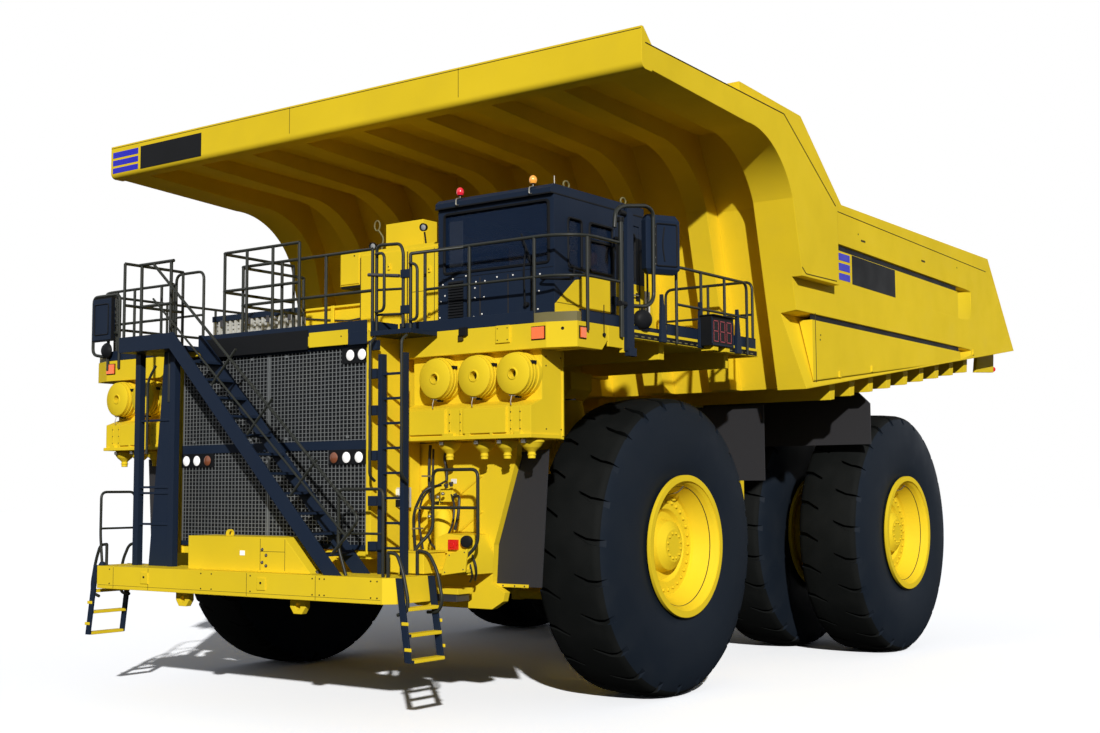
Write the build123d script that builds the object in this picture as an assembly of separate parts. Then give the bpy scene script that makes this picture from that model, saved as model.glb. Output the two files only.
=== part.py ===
from build123d import *
from math import sqrt
import os

# Rigid-frame mining dump truck, in millimetres.
# +X is the truck's left (cab) side, -Y its front, +Z up. The ground is z = 0 and the
# origin is the middle of the box that holds the whole truck.

os.makedirs("parts", exist_ok=True)

# ---- Driving dimensions -------------------------------------------------------------
wheelbase = 6650
front_overhang = 4508            # front axle to the bumper's face
rear_overhang = 4572             # rear axle to the tail of the bed
seat_gap = 0.3                   # between faces that rest or slide on each other

front_axle_y = (front_overhang - wheelbase - rear_overhang) / 2
rear_axle_y = front_axle_y + wheelbase

tyre_radius = 2015
tyre_width = 1480
tread_width = 1250
bead_radius = 880
rim_flange_radius = 953
rim_half_width = 615
rim_flange = 50
axle_z = tyre_radius
groove_count = 24                # slots in each shoulder of a tyre
front_wheel_x = 3410
rear_outer_wheel_x = 3850
rear_inner_wheel_x = 2110

rail_x = 1000                    # middle of each frame rail
rail_width = 360
rail_bottom_z = 1500

kingpin_x = 2100
steer_arm = 750                  # kingpin to the tie rod's pin
steer_cylinder_arm = 420         # kingpin to the steering cylinder's rod pin
steer_cylinder_inner_x = 850
steer_link_z = 1250
steer_arm_bottom_z = 1350
tie_rod_radius = 60

bumper_half_width = 2748
bumper_bottom_z = 1482
bumper_height = 301
bumper_depth = 700
bumper_top_z = bumper_bottom_z + bumper_height

grille_half_width = 1725
grille_face_y = front_axle_y - 3831
grille_bottom_z = 2119
grille_top_z = 4560
radiator_depth = 870
grille_side = 80                 # painted strip each side of the grille
grille_bar_z = 3294              # crossing rail
grille_bars = 23

deck_top_z = 4744
deck_skirt = 304
deck_edge = 110
deck_plate = 60
deck_face_y = front_axle_y - 3322
deck_face_x = 4110               # the front edge turns back from here
deck_side_x = 4470
deck_corner = 120
deck_inner_x = grille_half_width + grille_side + 5
deck_end_y = front_axle_y + 1250
deck_beam = 120
toe_board = 150

cab_inner_x = 2180
cab_side_x = 4000
cab_face_y = front_axle_y - 3000
cab_rear_y = front_axle_y - 980
cab_roof_z = 6460
cab_roof = 120
cab_sill_z = 5480
cab_wall = 60
glass_thickness = 12

bed_half_width = 4870
bed_wall = 460                   # box-section side walls
bed_floor_thickness = 100
bed_rail_top_z = 7090
bed_rail_y = front_axle_y + 3300 # the side's top rail runs level behind this
bed_tail_z = 5440
bed_tail_rake = 1360
bed_front_y = front_axle_y + 1960
bed_front_z = 4200
bed_tail_y = rear_axle_y + rear_overhang
bed_rib_depth = 350
bed_rib_width = 350
canopy_half_width = 5037
canopy_front_y = front_axle_y - 2630
canopy_rear_y = front_axle_y + 1120
canopy_top_z = 8300
canopy_fascia = 515
canopy_lip = 180                 # the fascia stands this far above the roof
canopy_plate = 100
canopy_fascia_depth = 230

bed_pivot_y = front_axle_y + 8000
bed_pivot_z = 3200
bed_pin_radius = 110
bore_clearance = 0.8

hoist_x = 1500
hoist_foot_y = front_axle_y + 3900
hoist_foot_z = 1750
hoist_head_y = front_axle_y + 3550
hoist_head_z = 4050
hoist_radius = 190
hoist_eye_half = 125

tube_radius = 24                 # handrail tube
tow_eye_radius = 45
tow_hook_x = 1070


# ---- Helpers ------------------------------------------------------------------------
def block(x0, x1, y0, y1, z0, z1):
    """A box between three pairs of planes."""
    middle = Pos((x0 + x1) / 2, (y0 + y1) / 2, (z0 + z1) / 2)
    return middle * Box(x1 - x0, y1 - y0, z1 - z0)


def side_plate(outline, x0, x1):
    """A plate with a (y, z) outline between two x planes."""
    face = make_face(Polyline(*[(x0, y, z) for y, z in outline], close=True))
    return extrude(face, amount=x1 - x0, dir=(1, 0, 0))


def front_plate(outline, y0, y1):
    """A plate with an (x, z) outline between two y planes."""
    face = make_face(Polyline(*[(x, y0, z) for x, z in outline], close=True))
    return extrude(face, amount=y1 - y0, dir=(0, 1, 0))


def floor_plate(outline, z0, z1):
    """A plate with an (x, y) outline between two z planes."""
    face = make_face(Polyline(*[(x, y, z0) for x, y in outline], close=True))
    return extrude(face, amount=z1 - z0, dir=(0, 0, 1))


def x_cylinder(x0, x1, y, z, radius):
    """A cylinder along X."""
    return Plane((x0, y, z), x_dir=(0, 1, 0), z_dir=(1, 0, 0)) * extrude(Circle(radius), x1 - x0)


def y_cylinder(y0, y1, x, z, radius):
    """A cylinder along Y."""
    return Plane((x, y0, z), x_dir=(1, 0, 0), z_dir=(0, 1, 0)) * extrude(Circle(radius), y1 - y0)


def z_cylinder(z0, z1, x, y, radius):
    """A cylinder along Z."""
    return Pos(x, y, z0) * extrude(Circle(radius), z1 - z0)


def along(start, end, radius, first=0, last=None):
    """A cylinder on the line from start to end, between two distances from start."""
    a, b = Vector(*start), Vector(*end)
    length = (b - a).length
    last = length if last is None else last
    plane = Plane(origin=a, z_dir=(b - a))
    return plane.offset(first) * extrude(Circle(radius), last - first)


def mirrored(shape):
    """The same shape on the truck's other side."""
    return mirror(shape, about=Plane.YZ)


def both_sides(shape):
    """A shape and its mirror image."""
    return [shape, mirrored(shape)]


def save(name, *shapes):
    """One STEP file for one node."""
    solids = []
    for shape in shapes:
        solids += shape.solids()
    export_step(solids[0] if len(solids) == 1 else Compound(children=solids), f"parts/{name}.step")


def fuse(first, *others):
    """Shapes joined as one."""
    joined = first
    for other in others:
        joined = joined + other
    return joined


def turned_x(profile):
    """A solid turned about X from an (x, radius) profile."""
    return revolve(make_face(Polyline(*profile, close=True)), axis=Axis.X)


def turned_z(profile):
    """A solid turned about Z from a (radius, z) profile."""
    points = [(radius, 0, z) for radius, z in profile]
    return revolve(make_face(Polyline(*points, close=True)), axis=Axis.Z)


def guard_rail(start, end, foot_z, height, bays, rails=(1.0, 0.52)):
    """A flat guard rail of square tube from start to end, (x, y), on posts."""
    d = 2 * tube_radius
    run = Vector(end[0] - start[0], end[1] - start[1], 0)
    length = run.length
    frame = None
    for i in range(bays + 1):
        u = d / 2 + i * (length - d) / bays
        post = Pos(u, height / 2) * Rectangle(d, height)
        frame = post if frame is None else frame + post
    for share in rails:
        frame += Pos(length / 2, height * share - d / 2) * Rectangle(length, d)
    plane = Plane(origin=(start[0], start[1], foot_z), x_dir=run, z_dir=run.cross(Vector(0, 0, 1)))
    return plane.offset(-d / 2) * extrude(frame, d)


# ---- Wheels -------------------------------------------------------------------------
def tread_grooves():
    """Slots across each shoulder that leave the lugs between them, about the X axis."""
    length, width, depth = 470, 85, 70
    slots = []
    for side in (-1, 1):
        for i in range(groove_count):
            angle = 360 * (i + (side + 1) / 4) / groove_count
            cutter = Pos(side * (tyre_width / 2 + 40 - length / 2), 0, tyre_radius + 20 - depth / 2)
            slots.append(Rot(angle, 0, 0) * cutter * Rot(0, 0, side * 14) * Box(length, width, depth))
    return slots


def tyre(x, y):
    """A tyre whose middle is at x: crowned lugged tread, rounded shoulders, bulged walls."""
    half = tyre_width / 2
    tread = tread_width / 2
    bead_half = rim_half_width - rim_flange
    bulge_radius = (bead_radius + tyre_radius) / 2 - 60
    shoulder = (tread + 60, tyre_radius - 150)
    toe = bead_half - seat_gap
    collar = rim_flange_radius + 25
    section = [
        Line((-toe, bead_radius), (toe, bead_radius)),
        Line((toe, bead_radius), (toe, collar)),
        ThreePointArc((toe, collar), (half, bulge_radius), shoulder),
        Line(shoulder, (tread, tyre_radius - 45)),
        ThreePointArc((tread, tyre_radius - 45), (0, tyre_radius), (-tread, tyre_radius - 45)),
        Line((-tread, tyre_radius - 45), (-shoulder[0], shoulder[1])),
        ThreePointArc((-shoulder[0], shoulder[1]), (-half, bulge_radius), (-toe, collar)),
        Line((-toe, collar), (-toe, bead_radius)),
    ]
    ring = revolve(make_face(section), axis=Axis.X)
    return Pos(x, y, axle_z) * (ring - tread_grooves())


def rim(x, y, side):
    """A deep-dished rim whose outside faces side * X."""
    barrel = rim_flange_radius - 113
    bolt_face_x = 250
    back_x = 150
    hub_back_x = -360
    outline = [
        (-rim_half_width, rim_flange_radius), (-rim_half_width, barrel), (back_x, barrel),
        (back_x, 460), (hub_back_x, 440), (hub_back_x, 0), (400, 0), (400, 220), (330, 330),
        (200, 360), (200, 460), (bolt_face_x, 500), (bolt_face_x, 690), (bolt_face_x + 40, 700),
        (rim_half_width - rim_flange - 5, barrel - 5), (rim_half_width - 15, bead_radius - 10),
        (rim_half_width, bead_radius - 10), (rim_half_width, rim_flange_radius),
        (rim_half_width - rim_flange, rim_flange_radius),
        (rim_half_width - rim_flange, bead_radius - seat_gap),
        (rim_flange - rim_half_width, bead_radius - seat_gap),
        (rim_flange - rim_half_width, rim_flange_radius),
    ]
    body = turned_x(outline)
    if side < 0:
        body = mirrored(body)
    return Pos(x, y, axle_z) * body


def front_wheels():
    for side, name in ((1, "left"), (-1, "right")):
        save(f"front_tyre_{name}", tyre(side * front_wheel_x, front_axle_y))
        save(f"front_rim_{name}", rim(side * front_wheel_x, front_axle_y, side))


wheel_motor_radius = 640
axle_end_x = 1340


def rear_wheels():
    for side, name in ((1, "left"), (-1, "right")):
        tyres = [tyre(side * x, rear_axle_y) for x in (rear_inner_wheel_x, rear_outer_wheel_x)]
        save(f"rear_tyres_{name}", *tyres)
        outer = rim(rear_outer_wheel_x, rear_axle_y, 1)
        inner = rim(rear_inner_wheel_x, rear_axle_y, 1)
        motor = x_cylinder(axle_end_x + seat_gap, rear_outer_wheel_x, rear_axle_y, axle_z,
                           wheel_motor_radius)
        pair = fuse(inner, outer, motor)
        save(f"rear_rims_{name}", pair if side > 0 else mirrored(pair))


# ---- Front axle ---------------------------------------------------------------------
strut_radius = 230
strut_bottom_z = 2900
strut_top_z = 4050
strut_rod_radius = 170
spindle_end_x = front_wheel_x - 360 - seat_gap
steer_arm_thickness = 150


def knuckle(side):
    """Kingpin column with its spindle and the steering arm behind it."""
    y = front_axle_y
    column = z_cylinder(steer_arm_bottom_z, strut_bottom_z - 60, kingpin_x, y, strut_rod_radius)
    collar = z_cylinder(strut_bottom_z - 60, strut_bottom_z - seat_gap, kingpin_x, y, strut_radius)
    root = 330
    tip = 240
    spindle_profile = [(kingpin_x, 0), (kingpin_x, root), (kingpin_x + 250, root),
                       (spindle_end_x - 120, tip), (spindle_end_x - 120, 380),
                       (spindle_end_x, 380), (spindle_end_x, 0)]
    spindle = Pos(0, y, axle_z) * turned_x(spindle_profile)
    arm_outline = [(kingpin_x - 190, y - 60), (kingpin_x + 190, y - 60),
                   (kingpin_x + 110, y + steer_arm + 60), (kingpin_x - 110, y + steer_arm + 60)]
    arm = floor_plate(arm_outline, steer_arm_bottom_z, steer_arm_bottom_z + steer_arm_thickness)
    body = fuse(column, collar, spindle, arm)
    return body if side > 0 else mirrored(body)


def front_strut(side):
    """Suspension cylinder between the frame's collar and the kingpin column."""
    y = front_axle_y
    outline = [(0, strut_bottom_z), (strut_radius, strut_bottom_z), (strut_radius, strut_top_z - 300),
               (strut_radius - 60, strut_top_z), (0, strut_top_z)]
    can = Pos(kingpin_x, y, 0) * turned_z(outline)
    return can if side > 0 else mirrored(can)


def tie_rod():
    y = front_axle_y + steer_arm
    eye_top = steer_arm_bottom_z - seat_gap
    bar = x_cylinder(-kingpin_x, kingpin_x, y, steer_link_z, tie_rod_radius)
    eyes = [z_cylinder(steer_link_z - 80, eye_top, s * kingpin_x, y, 95) for s in (-1, 1)]
    return fuse(bar, *eyes)


steer_cylinder_radius = 85
steer_rod_radius = 48
steer_barrel_length = 780


def steer_pins():
    """Rod pin and frame pin of the left steering cylinder, at rest."""
    rod_pin = (kingpin_x, front_axle_y + steer_cylinder_arm, steer_link_z)
    frame_pin = (steer_cylinder_inner_x, front_axle_y + steer_cylinder_arm - 30, steer_link_z)
    return frame_pin, rod_pin


def steer_barrel():
    frame_pin, rod_pin = steer_pins()
    eye = z_cylinder(steer_link_z - 95, rail_bottom_z - 90 - seat_gap, frame_pin[0], frame_pin[1], 100)
    barrel = along(frame_pin, rod_pin, steer_cylinder_radius, 40, steer_barrel_length)
    bore = along(frame_pin, rod_pin, steer_rod_radius + bore_clearance, 220, steer_barrel_length + 10)
    return fuse(eye, barrel) - bore


def steer_rod():
    frame_pin, rod_pin = steer_pins()
    eye_top = steer_arm_bottom_z - seat_gap
    eye = z_cylinder(steer_link_z - 75, eye_top, rod_pin[0], rod_pin[1], 85)
    reach = (Vector(*rod_pin) - Vector(*frame_pin)).length
    bar = along(frame_pin, rod_pin, steer_rod_radius, 500, reach - 40)
    return fuse(bar, eye)


def front_axle():
    for side, name in ((1, "left"), (-1, "right")):
        save(f"knuckle_{name}", knuckle(side))
        barrel, rod = steer_barrel(), steer_rod()
        save(f"steering_barrel_{name}", barrel if side > 0 else mirrored(barrel))
        save(f"steering_rod_{name}", rod if side > 0 else mirrored(rod))
    save("front_struts", front_strut(1), front_strut(-1))
    save("tie_rod", tie_rod())


# ---- Frame --------------------------------------------------------------------------
rail_front_y = front_axle_y - front_overhang + bumper_depth
rail_tail_y = bed_pivot_y + 260
rail_front_top_z = 1950
rail_mid_top_z = 2500
rail_seat_z = 3400               # the lowered bed's beams rest here
collar_half_depth = 260
collar_inner_x = 850
engine_top_z = 3700
engine_seat_z = 1880
rear_strut_x = 600
rear_strut_y = rear_axle_y + 850
rear_strut_top_z = 2900
rear_lug_top_z = 2500


def rail_outline():
    """Side outline of a frame rail, (y, z)."""
    y = front_axle_y
    return [
        (rail_front_y, rail_bottom_z), (rail_front_y, rail_front_top_z),
        (y - 2850, rail_front_top_z), (y - 2600, rail_mid_top_z), (y + 4300, rail_mid_top_z),
        (rear_axle_y - 900, rail_seat_z), (bed_pivot_y, rail_seat_z), (rail_tail_y, 3300),
        (rail_tail_y, 3050), (bed_pivot_y - 300, 2800), (rear_axle_y - 700, 2760),
        (y + 4700, rail_bottom_z + 100), (y + 3800, rail_bottom_z),
    ]


def cross_member(y, depth, z0, z1):
    half = rail_x - rail_width / 2
    return block(-half, half, y - depth / 2, y + depth / 2, z0, z1)


def collar_side():
    """One leg of the arch over the front axle, with its wing under the deck."""
    deck_seat_z = deck_top_z - deck_skirt
    rail_side = rail_x + rail_width / 2
    leg = front_plate([
        (collar_inner_x, 2300), (rail_side + 200, 2100), (kingpin_x - 500, 3100),
        (kingpin_x, strut_top_z - 500), (kingpin_x, strut_top_z - 60), (kingpin_x + 200, 4200),
        (kingpin_x + 200, deck_seat_z), (collar_inner_x, deck_seat_z),
    ], front_axle_y - collar_half_depth, front_axle_y + collar_half_depth)
    return leg - z_cylinder(strut_bottom_z, strut_top_z + 20, kingpin_x, front_axle_y,
                            strut_radius + seat_gap)


def main_frame():
    half = rail_width / 2
    rail = side_plate(rail_outline(), rail_x - half, rail_x + half)
    pin = x_cylinder(rail_x - half - 150, rail_x + half + 150, bed_pivot_y, bed_pivot_z,
                     bed_pin_radius)
    lug_y = steer_pins()[0][1]
    steer_lug = block(steer_cylinder_inner_x - 100, steer_cylinder_inner_x + 100, lug_y - 110,
                      lug_y + 110, rail_bottom_z - 90, rail_bottom_z)
    hoist_lug = block(rail_x + half, hoist_x - hoist_eye_half - seat_gap, hoist_foot_y - 130,
                      hoist_foot_y + 130, hoist_foot_z - 200, hoist_foot_z + 60)
    left = fuse(rail, pin, steer_lug, hoist_lug, collar_side())
    y = front_axle_y
    # place behind the front axle, depth, bottom, top
    members = [cross_member(y + place, depth, z0, z1) for place, depth, z0, z1 in (
        (-3650, 280, 1520, 1930), (-2200, 300, 1520, engine_seat_z),
        (1200, 300, 1520, engine_seat_z), (2600, 400, 1700, 2400),
        (4250, 200, 1750, 2350),
        (rear_strut_y - front_axle_y, 300, rear_strut_top_z, rail_seat_z - 100))]
    arch = block(-collar_inner_x, collar_inner_x, y - collar_half_depth, y + collar_half_depth,
                 engine_top_z + 200, deck_top_z - deck_skirt)
    return fuse(left, mirrored(left), arch, *members)


def engine_block():
    y = front_axle_y
    return block(-760, 760, y - 2450, y + 1500, engine_seat_z, engine_top_z)


def rear_axle_housing():
    outline = [(0, 0), (0, 560), (900, 560), (900, 680), (axle_end_x, 680), (axle_end_x, 0)]
    half = Pos(0, rear_axle_y, axle_z) * turned_x(outline)
    lug = block(rear_strut_x - 110, rear_strut_x + 110, rear_axle_y + 200, rear_strut_y + 140,
                rear_lug_top_z - 260, rear_lug_top_z)
    nose = side_plate([
        (rear_axle_y - 450, axle_z - 250), (rear_axle_y - 450, axle_z + 250),
        (rear_axle_y - 2300, axle_z + 160), (rear_axle_y - 2300, axle_z - 160),
    ], -300, 300)
    return fuse(half, mirrored(half), lug, mirrored(lug), nose)


def rear_strut():
    return z_cylinder(rear_lug_top_z, rear_strut_top_z, rear_strut_x, rear_strut_y, 95)


fuel_tank_depth = 1450


def tank(outer_x):
    y = front_axle_y + 2800
    z0, z1, r = 1600, 3100, 150
    x0 = hoist_x + hoist_radius + 60
    outline = [(x0, z0 + r), (x0 + r, z0), (outer_x - r, z0), (outer_x, z0 + r), (outer_x, z1 - r),
               (outer_x - r, z1), (x0 + r, z1), (x0, z1 - r)]
    bracket = block(rail_x + rail_width / 2, x0 + 50, y + 50, y + 250, z0 + 200, z0 + 700)
    return fuse(front_plate(outline, y, y + fuel_tank_depth), bracket)


def structure():
    save("main_frame", main_frame())
    save("engine_block", engine_block())
    save("rear_axle_housing", rear_axle_housing())
    save("rear_struts", rear_strut(), mirrored(rear_strut()))
    save("fuel_tank", tank(2600))
    save("hydraulic_tank", mirrored(tank(2450)))


# ---- Front end ----------------------------------------------------------------------
def front_bumper():
    """Bumper deck with its cabinet-side ledge and two towing plates below."""
    front_y = front_axle_y - front_overhang
    back_y = front_y + bumper_depth
    half = bumper_half_width
    corner = 120
    deck = floor_plate([
        (-half, back_y), (-half, front_y + corner), (corner - half, front_y),
        (half - corner, front_y), (half, front_y + corner), (half, back_y),
    ], bumper_bottom_z, bumper_top_z)
    hook_y = front_y + 180
    drop = 190
    hook = front_plate([
        (tow_hook_x - 130, bumper_bottom_z), (tow_hook_x - 130, bumper_bottom_z - 110),
        (tow_hook_x - 70, bumper_bottom_z - drop), (tow_hook_x + 70, bumper_bottom_z - drop),
        (tow_hook_x + 130, bumper_bottom_z - 110), (tow_hook_x + 130, bumper_bottom_z),
    ], hook_y, hook_y + 80)
    hook -= y_cylinder(hook_y - 10, hook_y + 90, tow_hook_x, bumper_bottom_z - 100, tow_eye_radius)
    return fuse(deck, hook, mirrored(hook))


def bumper_cabinet():
    """Low cabinet on the bumper with sloping right end and a lifting eye."""
    y = front_axle_y
    top_z = bumper_top_z + 430
    outline = [(-940, bumper_top_z), (1310, bumper_top_z), (850, top_z), (-940, top_z)]
    box = front_plate(outline, y - 4350, y - 3900)
    eye = x_cylinder(-330, -290, y - 4200, top_z + 30, 55) - x_cylinder(-340, -280, y - 4200,
                                                                         top_z + 35, 28)
    return fuse(box, eye)


def radiator():
    y0 = grille_face_y + 40
    core = block(-grille_half_width, grille_half_width, y0, y0 + radiator_depth,
                 rail_front_top_z, grille_top_z + 60)
    strip = block(grille_half_width, grille_half_width + grille_side, y0 - 40, y0 + radiator_depth,
                  rail_front_top_z, grille_top_z + 60)
    return fuse(core, strip, mirrored(strip))


def radiator_grille():
    """Upright bars between the painted rails, with the lamp plates."""
    y0 = grille_face_y
    half = grille_half_width
    lamp_plate = block(1080, half, y0, y0 + 20, grille_bar_z - 184, grille_bar_z)
    upper_plate = block(half - 420, half, y0, y0 + 20, grille_top_z - 190, grille_top_z)
    bars = [lamp_plate, mirrored(lamp_plate), upper_plate]
    pitch = 2 * half / grille_bars
    for i in range(grille_bars):
        x = -half + (i + 0.5) * pitch
        bars.append(block(x - 12, x + 12, y0 + 20, y0 + 40, grille_bottom_z, grille_top_z))
    # bottom and top of each crossing rail
    for z0, z1 in ((grille_bar_z, grille_bar_z + 114), (grille_top_z, grille_top_z + 60),
                   (grille_bottom_z - 60, grille_bottom_z)):
        bars.append(block(-half, half, y0, y0 + 40, z0, z1))
    return fuse(*bars)


def front_end():
    save("front_bumper", front_bumper())
    save("bumper_cabinet", bumper_cabinet())
    save("radiator", radiator())
    save("radiator_grille", radiator_grille())


# ---- Decks --------------------------------------------------------------------------
def deck_outline(inset=0):
    """Left deck from above, (x, y)."""
    return [
        (deck_inner_x + inset, deck_face_y + inset), (deck_face_x, deck_face_y + inset),
        (deck_side_x - inset, deck_face_y + deck_corner + inset),
        (deck_side_x - inset, deck_end_y - inset), (deck_inner_x + inset, deck_end_y - inset),
    ]


def deck_left():
    """A plate with a deep skirt at its front, a shallow edge behind and cross beams."""
    bottom = deck_top_z - deck_skirt
    low = deck_top_z - deck_edge
    shell = floor_plate(deck_outline(), low, deck_top_z)
    shell -= floor_plate(deck_outline(deck_beam), low - 10, deck_top_z - deck_plate)
    side_y, notch_y = front_axle_y - 2700, front_axle_y - 2350
    skirt = floor_plate([
        (deck_inner_x, deck_face_y), (deck_face_x, deck_face_y),
        (deck_side_x, deck_face_y + deck_corner), (deck_side_x, notch_y),
        (deck_side_x - deck_beam, notch_y), (deck_side_x - deck_beam, deck_face_y + 2 * deck_beam),
        (deck_inner_x, deck_face_y + deck_beam),
    ], bottom, low)
    skirt -= side_plate([
        (side_y, bottom - 10), (side_y + 120, bottom + 110), (notch_y + 10, bottom + 110),
        (notch_y + 10, bottom - 10)], deck_face_x, deck_side_x + 10)
    beams = [block(deck_inner_x, deck_side_x - 150, y - deck_beam / 2, y + deck_beam / 2, bottom,
                   deck_top_z - deck_plate)
             for y in (front_axle_y - 2950, front_axle_y - 1100, front_axle_y + 600)]
    inner = block(deck_inner_x, deck_inner_x + deck_beam, deck_face_y, deck_end_y, bottom,
                  deck_top_z - deck_plate)
    return fuse(shell, skirt, inner, *beams)


def deck_center():
    """Deck over the radiator."""
    half = deck_inner_x - 5
    return block(-half, half, grille_face_y - 69, front_axle_y - 400, grille_top_z + 60, deck_top_z)


def control_cabinets():
    """Electrical cabinets behind the centre deck: across, back from the axle, and up."""
    y = front_axle_y
    # x from and to, y from and to, z from and to
    tall, shelf, step, back = [block(x0, x1, y + y0, y + y1, z0, z1) for x0, x1, y0, y1, z0, z1 in (
        (335, 2150, -2500, -1500, deck_top_z, 6060), (-40, 335, -2500, -1900, 5610, 6105),
        (-770, 335, -2450, -1900, deck_top_z, 5340), (170, 870, -1800, -1500, 5610, 6570))]
    doors = [block(x0, x1, y - 2520, y - 2500, 4830, 6000) for x0, x1 in ((370, 1200), (1240, 2110))]
    return fuse(tall, shelf, step, back, *doors)


def retarder_grid():
    """Braking resistor box: louvred front and a dark lid."""
    y = front_axle_y
    x0, x1, y0, y1 = -2800, -1000, y - 2400, y - 1250
    z0, z1 = deck_top_z + 230, 5400
    core = block(x0 + 60, x1 - 60, y0 + 60, y1, deck_top_z, z1)
    frame = [block(x0, x1, y0, y1, deck_top_z, z0), block(x0, x1, y0, y1, z1 - 70, z1)]
    count = 15
    pitch = (x1 - x0 - 40) / count
    for i in range(count + 1):
        x = x0 + i * pitch
        frame.append(block(x, x + 40, y0, y0 + 70, z0, z1 - 70))
    return fuse(core, *frame)


canister_z = 4150
canister_radius = 247
canister_length = 230


def air_cleaners():
    """Intake housing under the left deck, with its round canisters and dust cups."""
    y = front_axle_y
    face_y, back_y, tray_y = y - 3200, y - 2760, y - 3420
    x0, x1 = 1950, 3955
    tray_z, tray_top_z = 3430, 3850
    housing = side_plate([
        (face_y, tray_top_z), (tray_y, tray_top_z - 80), (tray_y, tray_z), (face_y, tray_z),
        (back_y, tray_z - 50), (back_y, deck_top_z - deck_skirt), (face_y, deck_top_z - deck_skirt),
    ], x0, x1)
    ledge = block(x0 - 20, x1 + 20, tray_y - 30, back_y - 100, tray_z - 40, tray_z + 5)
    solids = [housing, ledge]
    for x in (2490, 3110, 3700):
        end_y = face_y - canister_length
        can = y_cylinder(end_y, face_y + 5, x, canister_z, canister_radius)
        collar = y_cylinder(face_y - 60, face_y + 5, x, canister_z, canister_radius + 15)
        band = y_cylinder(end_y + 40, end_y + 70, x, canister_z, canister_radius + 10)
        mouth = y_cylinder(end_y - 10, end_y + 80, x, canister_z, 55)
        solids.append(fuse(can, collar, band) - mouth)
    top = tray_z - 35
    cup = [(0, top), (125, top), (140, top - 25), (140, top - 60), (105, top - 110), (60, top - 150),
           (45, top - 165), (45, top - 240), (0, top - 240)]
    for x in (2540, 3085, 3437, 3800):
        solids.append(Pos(x, tray_y + 220, 0) * turned_z(cup))
    return fuse(*solids)


def upright():
    """Painted plate between the frame and the deck ahead of each front wheel."""
    y = front_axle_y
    rail_side = rail_x + rail_width / 2
    return front_plate([
        (rail_side, 1550), (1750, 1330), (2960, 1330), (3130, 1430), (3160, 1540), (2960, 1640),
        (2990, 2110), (3350, 3190), (3350, 3380), (rail_side, 3380),
    ], y - 2900, y - 2800)


def mud_guard(flap_y, outline):
    return front_plate(outline, flap_y, flap_y + 25)


def mud_guards():
    """Rubber flaps ahead of and behind each front wheel."""
    y = front_axle_y
    front = mud_guard(y - 2800, [(3750, 3270), (3270, 3240), (2820, 2120), (2780, 1610), (3630, 1610)])
    back = mud_guard(y + 2775, [(2000, 2900), (3750, 2900), (3750, 4050), (2000, 4050)])
    return [front, mirrored(front), back, mirrored(back)]


def decks():
    left = deck_left()
    save("deck_left", left)
    save("deck_right", mirrored(left))
    save("deck_center", deck_center())
    save("control_cabinets", control_cabinets())
    save("retarder_grid", retarder_grid())
    save("air_cleaners_left", air_cleaners())
    save("air_cleaners_right", mirrored(air_cleaners()))
    save("uprights", *both_sides(upright()))
    save("mud_guards", *mud_guards())


# ---- Stairs, ladders and guard rails ------------------------------------------------
stair_front_y = front_axle_y - 4430
stair_back_y = front_axle_y - 3905
stair_top_x = -1300
stair_foot_x = 1610
stair_stringer = 270             # measured along the ground
landing_x = -2360
stair_treads = 11


def stairway():
    """Diagonal stair across the grille, up to a landing that leads to the right deck."""
    rise = deck_top_z - bumper_top_z
    slope = rise / (stair_foot_x - stair_top_x)
    side = [(stair_foot_x, bumper_top_z), (stair_foot_x + stair_stringer, bumper_top_z),
            (stair_top_x + 60, deck_top_z + (stair_stringer - 60) * slope - 60),
            (stair_top_x, deck_top_z + (stair_stringer - 60) * slope - 60),
            (stair_top_x, deck_top_z - 60)]
    stringers = [front_plate(side, y, y + 30) for y in (stair_front_y, stair_back_y - 30)]
    treads = []
    for i in range(1, stair_treads + 1):
        z = bumper_top_z + rise * i / (stair_treads + 1)
        x = stair_foot_x - (z - bumper_top_z) / slope
        treads.append(block(x - 20, x + stair_stringer - 20, stair_front_y + 30, stair_back_y - 30,
                            z - 30, z))
    deck_edge = -deck_inner_x - 5
    landing = floor_plate([
        (stair_top_x, stair_front_y), (stair_top_x, stair_back_y), (deck_edge, stair_back_y),
        (deck_edge, deck_face_y), (landing_x, deck_face_y), (landing_x, stair_front_y)],
        deck_top_z - 60, deck_top_z)
    curb = front_plate([
        (landing_x, deck_top_z - 60), (landing_x, deck_top_z + toe_board),
        (stair_top_x, deck_top_z + toe_board), (stair_top_x, deck_top_z - 60)],
        stair_front_y, stair_front_y + 12)
    return fuse(landing, curb, *stringers, *treads)


def ladder(x0, x1, y, top_z, rung_heights, stile=60):
    """Two stiles on the bumper with rungs at the given heights."""
    stiles = [block(x, x + stile, y, y + 90, bumper_top_z, top_z) for x in (x0, x1 - stile)]
    rungs = [block(x0 + stile, x1 - stile, y + 25, y + 55, z, z + 30) for z in rung_heights]
    return fuse(stiles[0], stiles[1], *rungs)


def ladders():
    """Ladder to the left deck, and the tall braced posts beside the grille."""
    y = front_axle_y
    left = ladder(2040, 2460, y - 3960, deck_top_z - deck_skirt, range(2080, 4300, 300))
    x0, x1 = -2350, -1510
    top_z = deck_top_z - 61
    right = ladder(x0, x1, y - 4150, top_z, (2330, 2750, 2830, 3740), 105)
    brace = front_plate([
        (x1 - 40, bumper_top_z), (-2050, bumper_top_z), (-1835, 4030), (-1790, top_z),
        (x1 - 40, top_z),
    ], y - 4110, y - 4080)
    return [left, fuse(right, brace)]


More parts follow.
